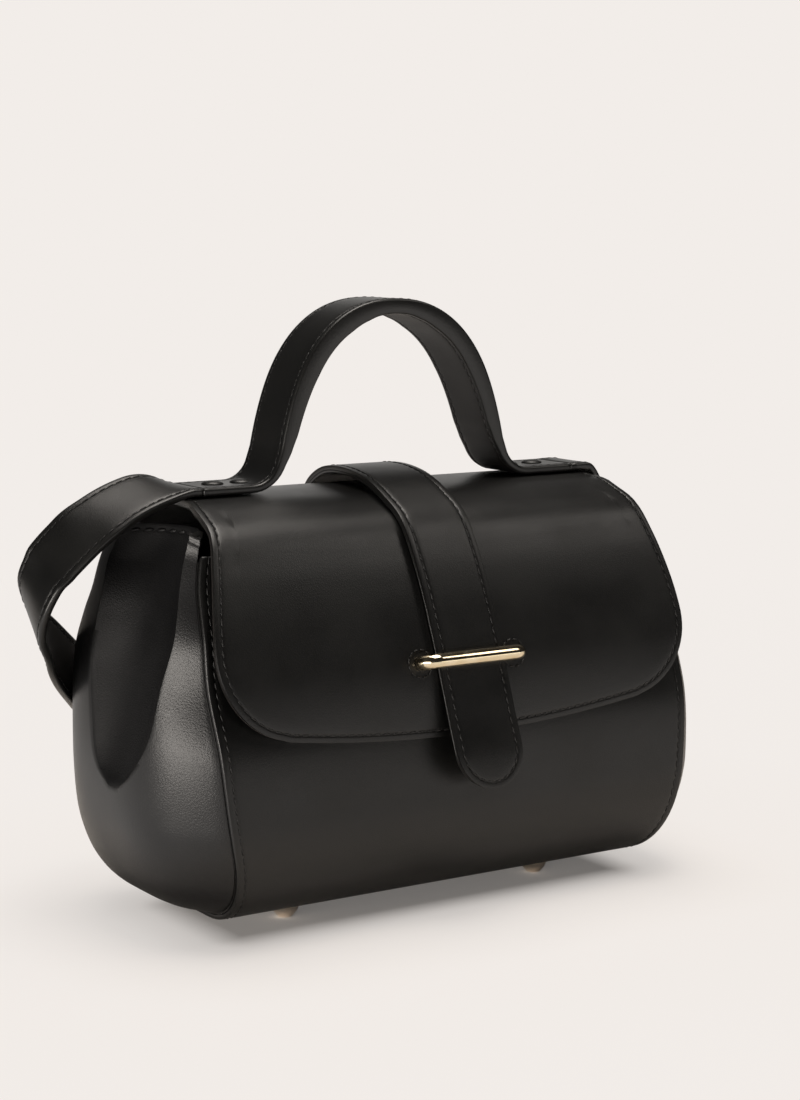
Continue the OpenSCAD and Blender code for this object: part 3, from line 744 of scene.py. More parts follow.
@dataclass
class Maker:
    """Turns shapes into pieces that ride on the frame."""

    finishes: Finishes
    edge_r: float = 0.9
    made: list[str] = field(default_factory=list)

    def piece(self, name: str, bm: Mesh, materials: Sequence[bpy.types.Material], body: Body | None,
              slot: Slot, stands_for: Sequence[str] = (), thickness: float = 0.0,
              round_by: float = 0.0) -> Object:
        """Makes a piece.

        Args:
            name: The piece's name.
            bm: Its shape in millimetres, in the body's own frame.
            materials: The skin first, then the reverse and the edge of a sheet.
            body: The body it rides on, or none, which leaves it unattached.
            slot: The record's slot of its finish; not used.
            stands_for: CAD nodes that it replaces.
            thickness: A sheet's thickness, inward from its skin.
            round_by: Radius of a sheet's edges.

        Returns:
            The object.
        """
        bmesh.ops.translate(bm, verts=bm.verts[:], vec=(0, MID_Y, 0))
        bmesh.ops.scale(bm, verts=bm.verts[:], vec=(MM, MM, MM))
        for f in bm.faces:
            f.smooth = True
        mesh = bpy.data.meshes.new(name)
        bm.to_mesh(mesh)
        bm.free()
        obj = bpy.data.objects.new(name, mesh)
        bpy.context.scene.collection.objects.link(obj)
        for material in materials:
            mesh.materials.append(material)
        if thickness:
            wall = obj.modifiers.new("wall", "SOLIDIFY")
            wall.thickness, wall.offset = thickness * MM, -1.0
            wall.material_offset, wall.material_offset_rim = 1, 2
        if round_by:
            edge = obj.modifiers.new("edge", "BEVEL")
            edge.width, edge.segments, edge.limit_method = round_by * MM, 3, "ANGLE"
            edge.angle_limit, edge.material, edge.use_clamp_overlap = math.radians(50), -1, True
        if stands_for:
            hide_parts(*stands_for)
        if body:
            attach(obj, body.value)
        self.made.append(name)
        LOG.info("piece %s: %d faces", name, len(mesh.polygons))
        return obj

    def leather(self, name: str, bm: Mesh, body: Body | None, stands_for: Sequence[str],
                thickness: float) -> Object:
        """Makes a leather sheet with a suede reverse and painted edges."""
        f = self.finishes
        return self.piece(name, bm, [f.smooth, f.suede, f.edge], body, Slot.SMOOTH, stands_for,
                          thickness, self.edge_r)

    def stitches(self, name: str, lines: Sequence[Run], body: Body | None, pitch: float = 4.7,
                 size: tuple[float, float, float] = (3.6, 0.9, 0.8)) -> Object:
        """Sews runs of slightly slanted stitches.

        Args:
            name: The piece's name.
            lines: Runs of points with the direction out of the skin.
            body: The body it rides on, or none, which leaves it unattached.
            pitch: Distance from stitch to stitch.
            size: Length, width and height of a stitch.

        Returns:
            The object.
        """
        chance = random.Random(name)
        bm = bmesh.new()
        bmesh.ops.create_uvsphere(bm, u_segments=8, v_segments=5, radius=0.5)
        bmesh.ops.scale(bm, verts=bm.verts[:], vec=(size[2], size[1], size[0]))
        bmesh.ops.rotate(bm, verts=bm.verts[:], matrix=Matrix.Rotation(math.pi / 2, 3, "Y"))
        stitch = bpy.data.meshes.new("stitch")
        bm.to_mesh(stitch)
        bm.clear()
        for line in lines:
            path = Path([p for p, _ in line])
            count = max(1, round(path.length / pitch))
            for k in range(count):
                s = (k + 0.5) * path.length / count
                j = min(max(bisect_right(path.marks, s) - 1, 0), len(line) - 2)
                along = (path.at(min(s + 1, path.length)) - path.at(max(s - 1, 0))).normalized()
                up = (line[j][1] + line[j + 1][1]).normalized()
                beside = up.cross(along).normalized()
                slant = math.radians(7 + chance.uniform(-2, 2))
                ahead = along * math.cos(slant) + beside * math.sin(slant)
                beside = up.cross(ahead).normalized()
                turn = Matrix((ahead, beside, ahead.cross(beside))).transposed().to_4x4()
                turn.translation = path.at(s) + up * chance.uniform(-0.05, 0.05)
                sewn = stitch.copy()
                sewn.transform(turn)
                bm.from_mesh(sewn)
                bpy.data.meshes.remove(sewn)
        bpy.data.meshes.remove(stitch)
        return self.piece(name, bm, [self.finishes.thread], body, Slot.SMOOTH)


# The bag's pieces


@dataclass
class BagBody:
    """Panel, lining, gussets and their seams."""

    maker: Maker
    panel_t: float = 2.6
    lining_t: float = 1.2
    gusset_t: float = 2.4
    gusset_bulge: float = 28.0
    hem_bulge: float = 12.0
    dimple_depth: float = 15.0
    dimple_tip_z: float = 72.0
    seam_gap: float = 0.2
    seam_share: float = 1.25
    margin_w: float = 9.0
    left_hem_lift: float = 3.5
    right_hem_lift: float = -2.5
    rib_drop: float = 2.0
    back_drop: float = 13.5
    crown_power: float = 3.5
    swell_power: float = 2.5
    swell_rise: float = 43.0
    fall_power: float = 1.3
    scoop_power: float = 2.6
    front_ridge: Table = (
        (72.0, -0.24), (76.5, -0.36), (87.5, -0.52), (99.0, -0.63), (116.5, -0.73), (131.0, -0.80),
        (145.0, -0.85), (165.0, -0.89), (190.0, -0.90))
    back_ridge: Table = (
        (72.0, -0.08), (76.0, 0.02), (82.0, 0.09), (90.0, 0.13), (111.0, 0.16), (123.0, 0.19),
        (143.0, 0.25), (160.0, 0.31), (176.0, 0.39), (190.0, 0.46))
    right_back_ridge: Table = (
        (72.0, -0.06), (76.0, 0.02), (82.0, 0.13), (90.0, 0.23), (111.0, 0.42), (123.0, 0.51),
        (143.0, 0.64), (160.0, 0.74), (176.0, 0.82), (190.0, 0.86))
    hem_section: Table = (
        (9.5, 0.0), (6.4, 0.1), (4.8, 0.3), (3.7, 0.15), (3.0, -0.15), (2.3, 0.15), (1.4, 0.35),
        (0.6, 0.3), (0.0, 0.0))
    hem_band: float = 11.5
    hem_seam: float = 3.0
    hem_lift: float = 0.25
    hem_stitch: tuple[float, float, float] = (4.6, 1.7, 1.5)
    tuck_from: float = 0.45
    row_power: float = 1.25
    rows: int = 60
    ribs: int = 14
    scoop: int = 28

    def __post_init__(self) -> None:
        """Smooths the ridges of both dimples; the right one leaves room for the shoulder strap."""
        front = curve(self.front_ridge, 6)
        self.ridge_lines = {-1: (front, curve(self.back_ridge, 6)),
                            1: (front, curve(self.right_back_ridge, 6))}
        self.seams = self.seam_tables()

    def build(self) -> None:
        """Builds and dresses the body's pieces."""
        self.panel()
        self.lining()
        for side, node in ((-1, "left_gusset"), (1, "right_gusset")):
            self.gusset(side, node)

    def panel(self) -> None:
        """Builds the wrap of front, base and back, sewn down both sides."""
        marks = BODY_PATH.steps(0.0, BODY_PATH.length, 3.5)
        edge = [(d * self.seam_share, h) for d, h in SEWN_EDGE]
        spread = [across(seam_half(BODY_PATH.at(s).y), 20, edge) for s in marks]

        def place(i: int, j: int) -> Vector:
            x, h = spread[j][i]
            return BODY_PATH.over(x, marks[j], h)

        bm = grid(len(spread[0]), len(marks), place)
        face_out(bm)
        self.maker.leather("body_panel", bm, Body.BAG, ["main_panel"], self.panel_t)
        seam = [seam_half(BODY_PATH.at(s).y) - STITCH_IN * self.seam_share for s in marks]
        lines = [[(BODY_PATH.over(side * x, s, -BAND_SINK), BODY_PATH.up(s))
                  for x, s in zip(seam, marks)] for side in (-1, 1)]
        self.maker.stitches("panel_stitching", lines, Body.BAG)

    def lining(self) -> None:
        """Builds the suede that lines the wrap."""
        marks = BODY_PATH.steps(4.0, BODY_PATH.length - 6.0, 6.0)
        half = [seam_half(BODY_PATH.at(s).y) - self.margin_w - 1 for s in marks]
        bm = grid(25, len(marks),
                  lambda i, j: BODY_PATH.over(half[j] * (i / 12 - 1), marks[j], -self.panel_t))
        face_out(bm)
        f = self.maker.finishes
        self.maker.piece("lining", bm, [f.suede] * 3, Body.BAG, Slot.SUEDE, ["body_lining"],
                         self.lining_t, 0.3)

    # Gusset skin

    @property
    def seam_in(self) -> float:
        """Gives how far the gusset's edge lies inside the panel's outer face."""
        return self.panel_t + self.seam_gap + self.gusset_t / 4

    def swell(self, z: float) -> float:
        """Gives how far the gusset stands out at a height."""
        low, top = FORM.base_z + self.seam_in, FORM.base_z + self.swell_rise
        if z < top:
            under = max(0.0, 1 - ((top - z) / (top - low)) ** self.swell_power)
            return self.gusset_bulge * under ** (1 / self.swell_power)
        fall = ((z - top) / (FORM.hem_z - top)) ** self.fall_power
        return self.gusset_bulge - (self.gusset_bulge - self.hem_bulge) * fall

    def rise(self, z: float) -> float:
        """Gives how far up the dimple a height lies."""
        return clamp((z - self.dimple_tip_z) / (FORM.hem_z - self.dimple_tip_z))

    def ridges(self, z: float, side: int) -> tuple[float, float]:
        """Gives a dimple's two ridges as shares of the half depth."""
        front, back = self.ridge_lines[side]
        return lookup(z, front), lookup(z, back)

    def crown(self, share: float, z: float) -> float:
        """Gives the swell across the depth."""
        return self.swell(z) * (1 - abs(share) ** self.crown_power)

    def column(self, j: int, z: float, side: int) -> float:
        """Gives a column's share of the half depth."""
        a, b = self.ridges(z, side)
        if j <= self.ribs:
            return -1 + (a + 1) * j / self.ribs
        if j <= self.ribs + self.scoop:
            return a + (b - a) * (j - self.ribs) / self.scoop
        return b + (1 - b) * (j - self.ribs - self.scoop) / self.ribs

    def skin(self, j: int, z: float, side: int) -> float:
        """Gives how far the skin stands past the seam."""
        share = self.column(j, z, side)
        if j <= self.ribs or j >= self.ribs + self.scoop:
            return self.crown(share, z)
        a, b = self.ridges(z, side)
        u = (share - a) / (b - a)
        ridge = self.crown(a, z) * (1 - u) + self.crown(b, z) * u
        flat = 1 - min(1.0, self.rise(z) * 14)
        hollow = math.sqrt(self.rise(z)) * (1 - abs(2 * u - 1) ** self.scoop_power)
        return ridge + (self.crown(share, z) - ridge) * flat - self.dimple_depth * hollow

    def spot(self, j: int, z: float, side: int, lift: float) -> Vector:
        """Gives a place over the gusset's skin, from a column, a height and a lift."""
        f, b = (lookup(z, seam) for seam in self.seams)
        x = seam_half(z) + self.skin(j, z, side) + lift
        return Vector((side * x, (f + b) / 2 + self.column(j, z, side) * (b - f) / 2, z))

    def hem_height(self, j: int, side: int) -> float:
        """Gives the hem's height over a column, lower at the seams and tucked in at the right."""
        lift = self.left_hem_lift if side < 0 else self.right_hem_lift
        count = 2 * self.ribs + self.scoop
        if side > 0 and 2 * j >= count:
            share = self.column(j, FORM.hem_z, side)
            tuck = max(0.0, (share - self.tuck_from) / (1 - self.tuck_from))
            return FORM.hem_z + lift - self.back_drop * tuck
        e = max(0.0, abs(2 * j / count - 1) - 1 + 2 * self.ribs / count) * count / (2 * self.ribs)
        return FORM.hem_z + lift - (self.rib_drop if 2 * j < count else self.back_drop) * e

    def seam_tables(self) -> tuple[list[list[float]], list[list[float]]]:
        """Gives the front and back seams as rows of height and depth."""
        inner = []
        for s in BODY_PATH.steps(0.0, BODY_PATH.length, 2.0):
            p = BODY_PATH.at(s) - self.seam_in * BODY_PATH.out(s)
            inner.append([p.y, p.x])
        for s in FLAP_PATH.steps(2.0, 24.0, 2.0):
            p = FLAP_PATH.at(s) - (FORM.flap_t + FORM.flap_lining_t + 1) * FLAP_PATH.out(s)
            inner.append([p.y, p.x])
        low = min(range(len(inner)), key=lambda k: (inner[k][0], abs(inner[k][1])))
        return sorted(inner[:low + 1]), sorted(inner[low:])

    def margin(self, side: int) -> Mesh:
        """Builds the gusset's turned edge, which shows beside the panel's edge.

        Args:
            side: -1 for the left one, 1 for the right one.

        Returns:
            The strip along the whole seam.
        """
        marks = BODY_PATH.steps(2.0, BODY_PATH.length - 3.0, 3.5)
        inset = (0.0, 0.4, 1.2, 4.0, self.margin_w)
        half = [seam_half(BODY_PATH.at(s).y) for s in marks]
        bm = grid(len(inset), len(marks),
                  lambda i, j: BODY_PATH.over(side * (half[j] - inset[i]), marks[j],
                                              -self.panel_t - GLUE))
        face_out(bm)
        return bm

    def gusset(self, side: int, node: str) -> None:
        """Builds one moulded gusset with its sewn hem.

        Args:
            side: -1 for the left one, 1 for the right one.
            node: The CAD node that it replaces.
        """
        low = FORM.base_z + self.seam_in
        columns = 2 * self.ribs + self.scoop + 1

        def place(j: int, i: int) -> Vector:
            hem = self.hem_height(j, side)
            if i < self.rows:
                share = (i / (self.rows - 1)) ** self.row_power
                return self.spot(j, low + (hem - self.hem_band - low) * share, side, 0.0)
            drop, lift = self.hem_section[i - self.rows]
            return self.spot(j, hem - drop, side, lift)

        bm = grid(columns, self.rows + len(self.hem_section), place)
        bm.verts.index_update()
        for face in bm.faces:
            across_at = [v.index % columns for v in face.verts]
            deep = min(self.rise(v.co.z) for v in face.verts) > 0.02
            if deep and min(across_at) >= self.ribs and max(across_at) <= self.ribs + self.scoop:
                face.material_index = 3
        face_out(bm)
        bm = join([bm, self.margin(side)])
        f = self.maker.finishes
        skins = [f.grained, f.suede, f.edge, f.hollow, f.suede, f.edge]
        self.maker.piece(node.replace("_gusset", "_side"), bm, skins, Body.BAG, Slot.GRAINED,
                         [node], self.gusset_t, 0.5)
        up = Vector((side, 0, 0.2))
        line = [(self.spot(j, self.hem_height(j, side) - self.hem_seam, side, self.hem_lift), up)
                for j in range(self.ribs + 1, self.ribs + self.scoop)]
        self.maker.stitches(node.replace("_gusset", "_hem_stitching"), [line], Body.BAG, 6.0,
                            self.hem_stitch)


@dataclass
class Flap:
    """Flap leather, its lining, its seam and the suede strip over the hinge."""

    maker: Maker
    facing_low: float = 13.0
    facing_high: float = 10.0
    facing_in: float = 11.0
    facing_depth: float = 3.95
    facing_t: float = 0.8
    strap_room: float = 2.9
    draw_from: float = 32.0
    draw_over: float = 14.0
    bend_low: float = 0.005
    bend_high: float = 0.007

    def build(self) -> None:
        """Builds and dresses the flap."""
        turn = FLAP_PATH.length_at(FORM.flap_turn_z)
        tongue = Tongue(FLAP_PATH.steps(0.0, turn, 4.0), self.half, self.lower_end())
        bm = tongue.sheet(SEWN_EDGE, FLAP_PATH.over)
        leather = self.maker.leather("flap_leather", bm, None, ["flap"], FORM.flap_t)
        plain = ((0.0, -0.2), (0.6, 0.0), (13.0, 0.0))
        bm = tongue.sheet(plain, lambda x, s, h: FLAP_PATH.over(x, s, h - FORM.flap_t - GLUE))
        f = self.maker.finishes
        backing = self.maker.piece("flap_backing", bm, [f.suede, f.suede, f.edge], None, Slot.SUEDE,
                                   ["flap_lining"], FORM.flap_lining_t, 0.4)
        line = [(FLAP_PATH.over(x, s, -FLAP_SINK), FLAP_PATH.up(s))
                for x, s in tongue.rim(STITCH_IN)]
        sewing = self.maker.stitches("flap_stitching", [line], None)
        for obj in (leather, backing, sewing, self.facing()):
            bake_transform(obj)

    def facing(self) -> Object:
        """Builds the suede strip that covers the hinge inside, sewn to the panel and the flap."""
        marks = FLAP_PATH.steps(-self.facing_low, self.facing_high, 1.5)
        inset = ((-2.4, self.facing_in), (-1.0, 0.4))
        half = [seam_half(FORM.hinge_z) - lookup(s, inset) for s in marks]

        def place(i: int, j: int) -> Vector:
            s = marks[j]
            path, at = (BODY_PATH, BODY_PATH.length + s) if s < 0 else (FLAP_PATH, s)
            return path.over(half[j] * (i / 12 - 1), at, -self.facing_depth)

        bm = grid(25, len(marks), place)
        face_out(bm)
        skins = [self.maker.finishes.suede] * 3
        return self.maker.piece("hinge_facing", bm, skins, None, Slot.SUEDE, (), self.facing_t, 0.2)

    def half(self, s: float) -> float:
        """Gives the half width at a length, drawn in under the shoulder strap."""
        p = FLAP_PATH.at(s)
        if p.x > FORM.handle_back + 3:
            k = clamp((p.y - FORM.hinge_z) / (FORM.flap_top_z - FORM.hinge_z))
            front = FORM.flap_half(FORM.flap_top_z) - self.strap_room
            return seam_half(FORM.hinge_z) * (1 - k) + front * k
        k = clamp((p.x - FORM.handle_back + self.draw_from) / self.draw_over)
        return FORM.flap_half(p.y) - self.strap_room * k * k * (3 - 2 * k)

    def lower_end(self) -> list[tuple[float, float, float, float]]:
        """Gives the corners and the bowed lower edge, from left to right, with the way inward."""
        r, turn_x = FORM.flap_corner_r, FORM.flap_side_w - FORM.flap_corner_r
        slope = math.atan2(2 * FORM.flap_bow, turn_x)
        reach = turn_x + r * math.sin(slope)
        right = []
        for k in range(25):
            x = reach * k / 24
            lean = Vector((-2 * FORM.flap_bow * k / 24 / reach, 1.0)).normalized()
            right.append((x, FORM.flap_edge_z + FORM.flap_bow * (k / 24) ** 2, lean.x, lean.y))
        for k in range(1, 19):
            a = (math.pi / 2 - slope) * (1 - k / 18)
            x, z = math.cos(a), math.sin(a)
            right.append((turn_x + r * x, FORM.flap_turn_z - r * z, -x, z))
        points = [(-x, z, -nx, nz) for x, z, nx, nz in reversed(right[1:])] + right
        return [(x, FLAP_PATH.length_at(z), nx, -nz) for x, z, nx, nz in points]


@dataclass
class Straps:
    """Closing strap, handle and shoulder strap."""

    maker: Maker
    strap_w: float = 36.0
    strap_t: float = 2.0
    strap_lining_t: float = 1.6
    slant: float = 3.5
    sewn_z: float = 184.5
    end_seam: float = 3.6
    tongue_z: float = 64.0
    tongue_off: float = 10.0
    loop_z: float = 123.0
    seat: float = 0.45
    bow: float = 5.0
    band_w: float = 32.0
    band_t: float = 3.7
    grip_t: float = 3.7
    grip_from: float = 9.0
    flare: float = 2.0
    flare_h: float = 36.0
    arch_w: float = 125.0
    arch_h: float = 88.8
    arch_power: float = 2.25
    bend_r: float = 8.5
    flare_r: float = 13.5
    foot_seat: float = 0.3
    rivet_in: float = 5.5
    rivet_pitch: float = 15.0
    foot_tail: float = 13.0
    cord_t: float = 3.6

    def build(self) -> None:
        """Builds and dresses the straps."""
        self.shoulder_strap()
        self.closing_strap()
        self.handle()

    @property
    def foot_top(self) -> float:
        """Gives the height of the handle feet's upper face."""
        return FORM.crest_z + self.foot_seat + self.band_t

    @property
    def rivet_x(self) -> float:
        """Gives the place of the inner rivet."""
        return self.arch_w / 2 + self.bend_r + self.rivet_in

    @property
    def foot_end(self) -> float:
        """Gives the place of a handle foot's end."""
        return self.rivet_x + self.rivet_pitch + self.foot_tail

    # Closing strap

    def gap(self, p: Vector) -> float:
        """Gives how far the strap's lining stands off the flap."""
        c, z = FORM.crest_z, p.y
        if p.x < FORM.handle_back:
            tip, loop, off = self.tongue_z, self.loop_z, self.tongue_off
            return lookup(z, [(tip - 4, off + 0.8), (tip + 14, off * 0.8), (loop - 28, 3.5),
                              (loop - 10, 0.7), (loop, self.seat), (loop + 30, 0.5), (c - 21, 0.5),
                              (c - 8, 0.7), (c - 2.5, 2.4), (c, self.bow)])
        return lookup(z, [(FORM.hinge_z, 0.4), (FORM.hinge_z + 8, 0.6), (c - 8.5, 2.8),
                          (c - 1.4, 3.6), (c, self.bow)])

    def strap_path(self) -> Path:
        """Gives the line of the strap's lining, from its sewn end behind the crest to its tip."""
        first = next(s for s in FLAP_PATH.marks if FLAP_PATH.at(s).y >= self.sewn_z)
        marks = FLAP_PATH.steps(first, FLAP_PATH.length, 2.0)
        raw = [FLAP_PATH.at(s) + self.gap(FLAP_PATH.at(s)) * FLAP_PATH.out(s) for s in marks]
        for _ in range(6):
            even = [(a + 2 * b + c) / 4 for a, b, c in zip(raw, raw[1:], raw[2:])]
            raw = [raw[0]] + even + [raw[-1]]
        return Path(curve(raw, 3))

    def closing_strap(self) -> None:
        """Builds the strap and its lining as one piece each, bent at the brow."""
        path = self.strap_path()
        r = self.strap_w / 2
        lean = math.tan(math.radians(self.slant))
        turn = path.length_at(self.tongue_z + r)
        lower = []
        for k in range(33):
            a = math.pi * k / 32
            s = path.length_at(self.tongue_z + r - r * math.sin(a))
            lower.append((-r * math.cos(a), s, math.cos(a), -math.sin(a)))
        tongue = Tongue(path.steps(0.0, turn, 3.0), lambda s: r, lower)

        def place(x: float, s: float, h: float) -> Vector:
            return path.over(x - (path.at(s).y - self.loop_z) * lean, s, h)

        top = self.strap_lining_t + self.strap_t
        edge = tuple(row for row in SEWN_EDGE if row[0] < 8)
        outer = tongue.sheet(edge, lambda x, s, h: place(x, s, h + top))
        leather = self.maker.leather("closing_strap_leather", outer, None,
                                     ["strap_base", "closure_strap", "strap_tongue"], self.strap_t)
        plain = ((0.0, -0.15), (0.6, 0.0), (6.0, 0.0))
        inner = tongue.sheet(plain, lambda x, s, h: place(x, s, h + self.strap_lining_t - GLUE))
        f = self.maker.finishes
        linings = ["strap_base_lining", "closure_strap_lining", "strap_tongue_lining"]
        skins = [f.smooth, f.smooth, f.edge]
        backing = self.maker.piece("closing_strap_backing", inner, skins, None, Slot.SMOOTH,
                                   linings, self.strap_lining_t, 0.4)
        line = [(place(x, s, top - FLAP_SINK), path.up(s)) for x, s in tongue.rim(STITCH_IN)]
        across_end = [(place(x, self.end_seam, top + 0.05), path.up(self.end_seam))
                      for x in (-14.4, -7.0, 0.0, 7.0, 14.4)]
        sewing = self.maker.stitches("closing_strap_stitching", [line, across_end], None)
        for obj in (leather, backing, sewing):
            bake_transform(obj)

    # Bands

    def band_seams(self, place: Callable[[float, int, float], Vector],
                   thick: Callable[[int], float], ups: Sequence[Vector],
                   under: Callable[[int], bool]) -> list[Run]:
        """Gives runs of stitches along both edges of a band.

        Args:
            place: Gives a point's place from across, section and height over the upper face.
            thick: Gives the thickness at a section.
            ups: The direction out of the upper face at each section.
            under: Tells whether the stitches show on the lower face at a section.

        Returns:
            For each edge, a run on the upper face and one on the lower face.
        """
        lines = []
        for y in (STITCH_IN - self.band_w / 2, self.band_w / 2 - STITCH_IN):
            lines.append([(place(y, j, -BAND_SINK), n) for j, n in enumerate(ups)])
            lines.append([(place(y, j, BAND_SINK - thick(j)), -n)
                          for j, n in enumerate(ups) if under(j)])
        return lines

    def arch(self) -> list[Vector]:
        """Gives the handle's outer line from the right foot to the left one, as (x, z)."""
        leg, r = self.arch_w / 2, self.flare_r
        heel = leg + r + self.flare
        foot = [Vector((self.foot_end - k * (self.foot_end - heel) / 12, self.foot_top))
                for k in range(12)]
        bend = [Vector((heel + r * math.cos(a), self.foot_top + r * (1 + math.sin(a))))
                for a in (math.radians(270 - 5 * k) for k in range(16))]
        power = 2 / self.arch_power
        turns = [math.radians(10.5 + 1.5 * k) for k in range(54)]
        top = [Vector((leg * math.cos(a) ** power,
                       FORM.crest_z + self.arch_h * math.sin(a) ** power)) for a in turns]
        for p in top:
            p.x += self.flare * max(0.0, 1 - max(0.0, p.y - bend[-1].y) / self.flare_h) ** 2
        half = foot + bend + top
        return half + [Vector((-p.x, p.y)) for p in reversed(half[:-1])]

    def handle(self) -> None:
        """Builds the handle: band and grip lining sewn into one, with stitches on both faces."""
        path = Path(self.arch())
        marks = path.steps(0.0, path.length, 2.0)
        rise, grip, crown = self.foot_top, self.grip_t, FORM.crest_z + self.arch_h
        leg = FORM.crest_z + 0.65 * self.arch_h
        table = [(rise + 2.0, 0.0), (rise + self.grip_from, 0.7), (rise + 24.0, grip),
                 (leg, grip + 1.9), (crown - 7.0, grip + 2.1), (crown - 2.0, grip + 1.2),
                 (crown, grip)]

        def thick(j: int) -> float:
            return self.band_t + lookup(path.at(marks[j]).y, table)

        def place(y: float, j: int, h: float) -> Vector:
            p, n = path.at(marks[j]), path.out(marks[j])
            return Vector((p.x + n.x * h, FORM.handle_back + y, p.y + n.y * h))

        bm = belt(self.band_w / 2, len(marks), thick, place)
        f = self.maker.finishes
        self.maker.piece("handle_band", bm, [f.smooth, f.inner, f.edge], Body.FLAP, Slot.SMOOTH,
                         ["handle", "handle_lining"])
        ups = [Vector((path.out(s).x, 0, path.out(s).y)) for s in marks]
        lines = self.band_seams(place, thick, ups,
                                lambda j: path.at(marks[j]).y > rise + self.grip_from)
        self.maker.stitches("handle_stitching", lines, Body.FLAP)

    def route(self) -> tuple[list[Vector], list[Vector]]:
        """Gives the shoulder strap's points, in the shared frame, and the way its width lies."""
        points = [
            (-110, 18, 201.5), (-118, 18, 202), (-126, 18, 201), (-134, 18, 198.5), (-142, 18, 195),
            (-150, 18, 190.5), (-158, 19, 185), (-164, 20, 179.5), (-170, 22, 173), (-175, 24, 166),
            (-178, 28, 155), (-175, 34, 142), (-166, 42, 132), (-154, 55, 121), (-139, 72, 109),
            (-121, 94, 96), (-97, 103, 77), (-70, 106, 54), (-36, 109, 30), (0, 110, 20),
            (36, 109, 23), (70, 106, 34), (98, 101, 52), (126, 93, 78), (149, 78, 104),
            (157, 57, 124), (152, 38, 141), (139, 25, 157), (131, 19, 171), (127, 18, 183),
            (122.5, 18, 193), (118, 18, 199.6), (114, 18, 200.9)]
        lay = [
            (0, 1, 0.06), (0, 1, 0.24), (0, 1, 0.36), (0, 1, 0.42), (0, 1, 0.48),
            (0, 1, 0.56), (0, 1, 0.68), (0, 1, 0.74), (0, 1, 0.78), (0, 1, 0.7),
            (0, 0.9, 0.5), (0.24, 0.92, 0.3), (0.4, 0.8, 0.42), (0.46, 0.7, 0.54), (0.4, 0.56, 0.7),
            (0.2, 0.3, 1), (0.1, 0.1, 1), (0, 0, 1), (0, 0, 1), (0, 0, 1),
            (0, 0, 1), (0, 0, 1), (0, 0, 1), (0, 0.1, 1), (0, 0.3, 1),
            (0, 0.6, 0.8), (-0.2, 0.8, 0.6), (0, 1, 0.3), (0, 1, 0.1), (0, 1, 0),
            (0, 1, 0), (0, 1, 0), (0, 1, 0)]
        end = (self.foot_end, FORM.handle_back + MID_Y,
               FORM.crest_z + self.foot_seat + self.band_t / 2)
        level = [(0, 1, 0)]
        whole = [(-end[0], end[1], end[2])] + points + [end]
        line, way = curve(whole, 6), curve(level + lay + level, 6)
        return line[:1] + line[3:-3] + line[-1:], way[:1] + way[3:-3] + way[-1:]

    def shoulder_strap(self) -> None:
        """Builds the flat band from foot to foot, round behind the bag."""
        line, lay = self.route()
        shift = Vector((0, MID_Y, 0))
        frames = []
        for i, p in enumerate(line):
            ends = i in (0, len(line) - 1)
            t = Vector((-1, 0, 0)) if ends else (line[i + 1] - line[i - 1]).normalized()
            w = (lay[i] - lay[i].dot(t) * t).normalized()
            frames.append((p - shift, w, w.cross(t)))
        half = self.cord_t / 2

        def place(y: float, i: int, h: float) -> Vector:
            p, w, n = frames[i]
            return p + w * y + n * (h + half)

        def thick(i: int) -> float:
            return self.cord_t

        bm = belt(self.band_w / 2, len(line), thick, place)
        f = self.maker.finishes
        strap = self.maker.piece("shoulder_strap_band", bm, [f.smooth, f.inner, f.edge], None,
                                 Slot.SMOOTH, ["shoulder_strap"])
        lines = self.band_seams(place, thick, [n for _, _, n in frames], lambda i: True)
        sewing = self.maker.stitches("shoulder_strap_stitching", lines, None)
        for obj in (strap, sewing):
            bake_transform(obj)
        path = [p * MM for p in line]
        length = sum((b - a).length for a, b in zip(path, path[1:]))
        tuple(path[0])
        LOG.info("shoulder strap is %.3f m long", length)


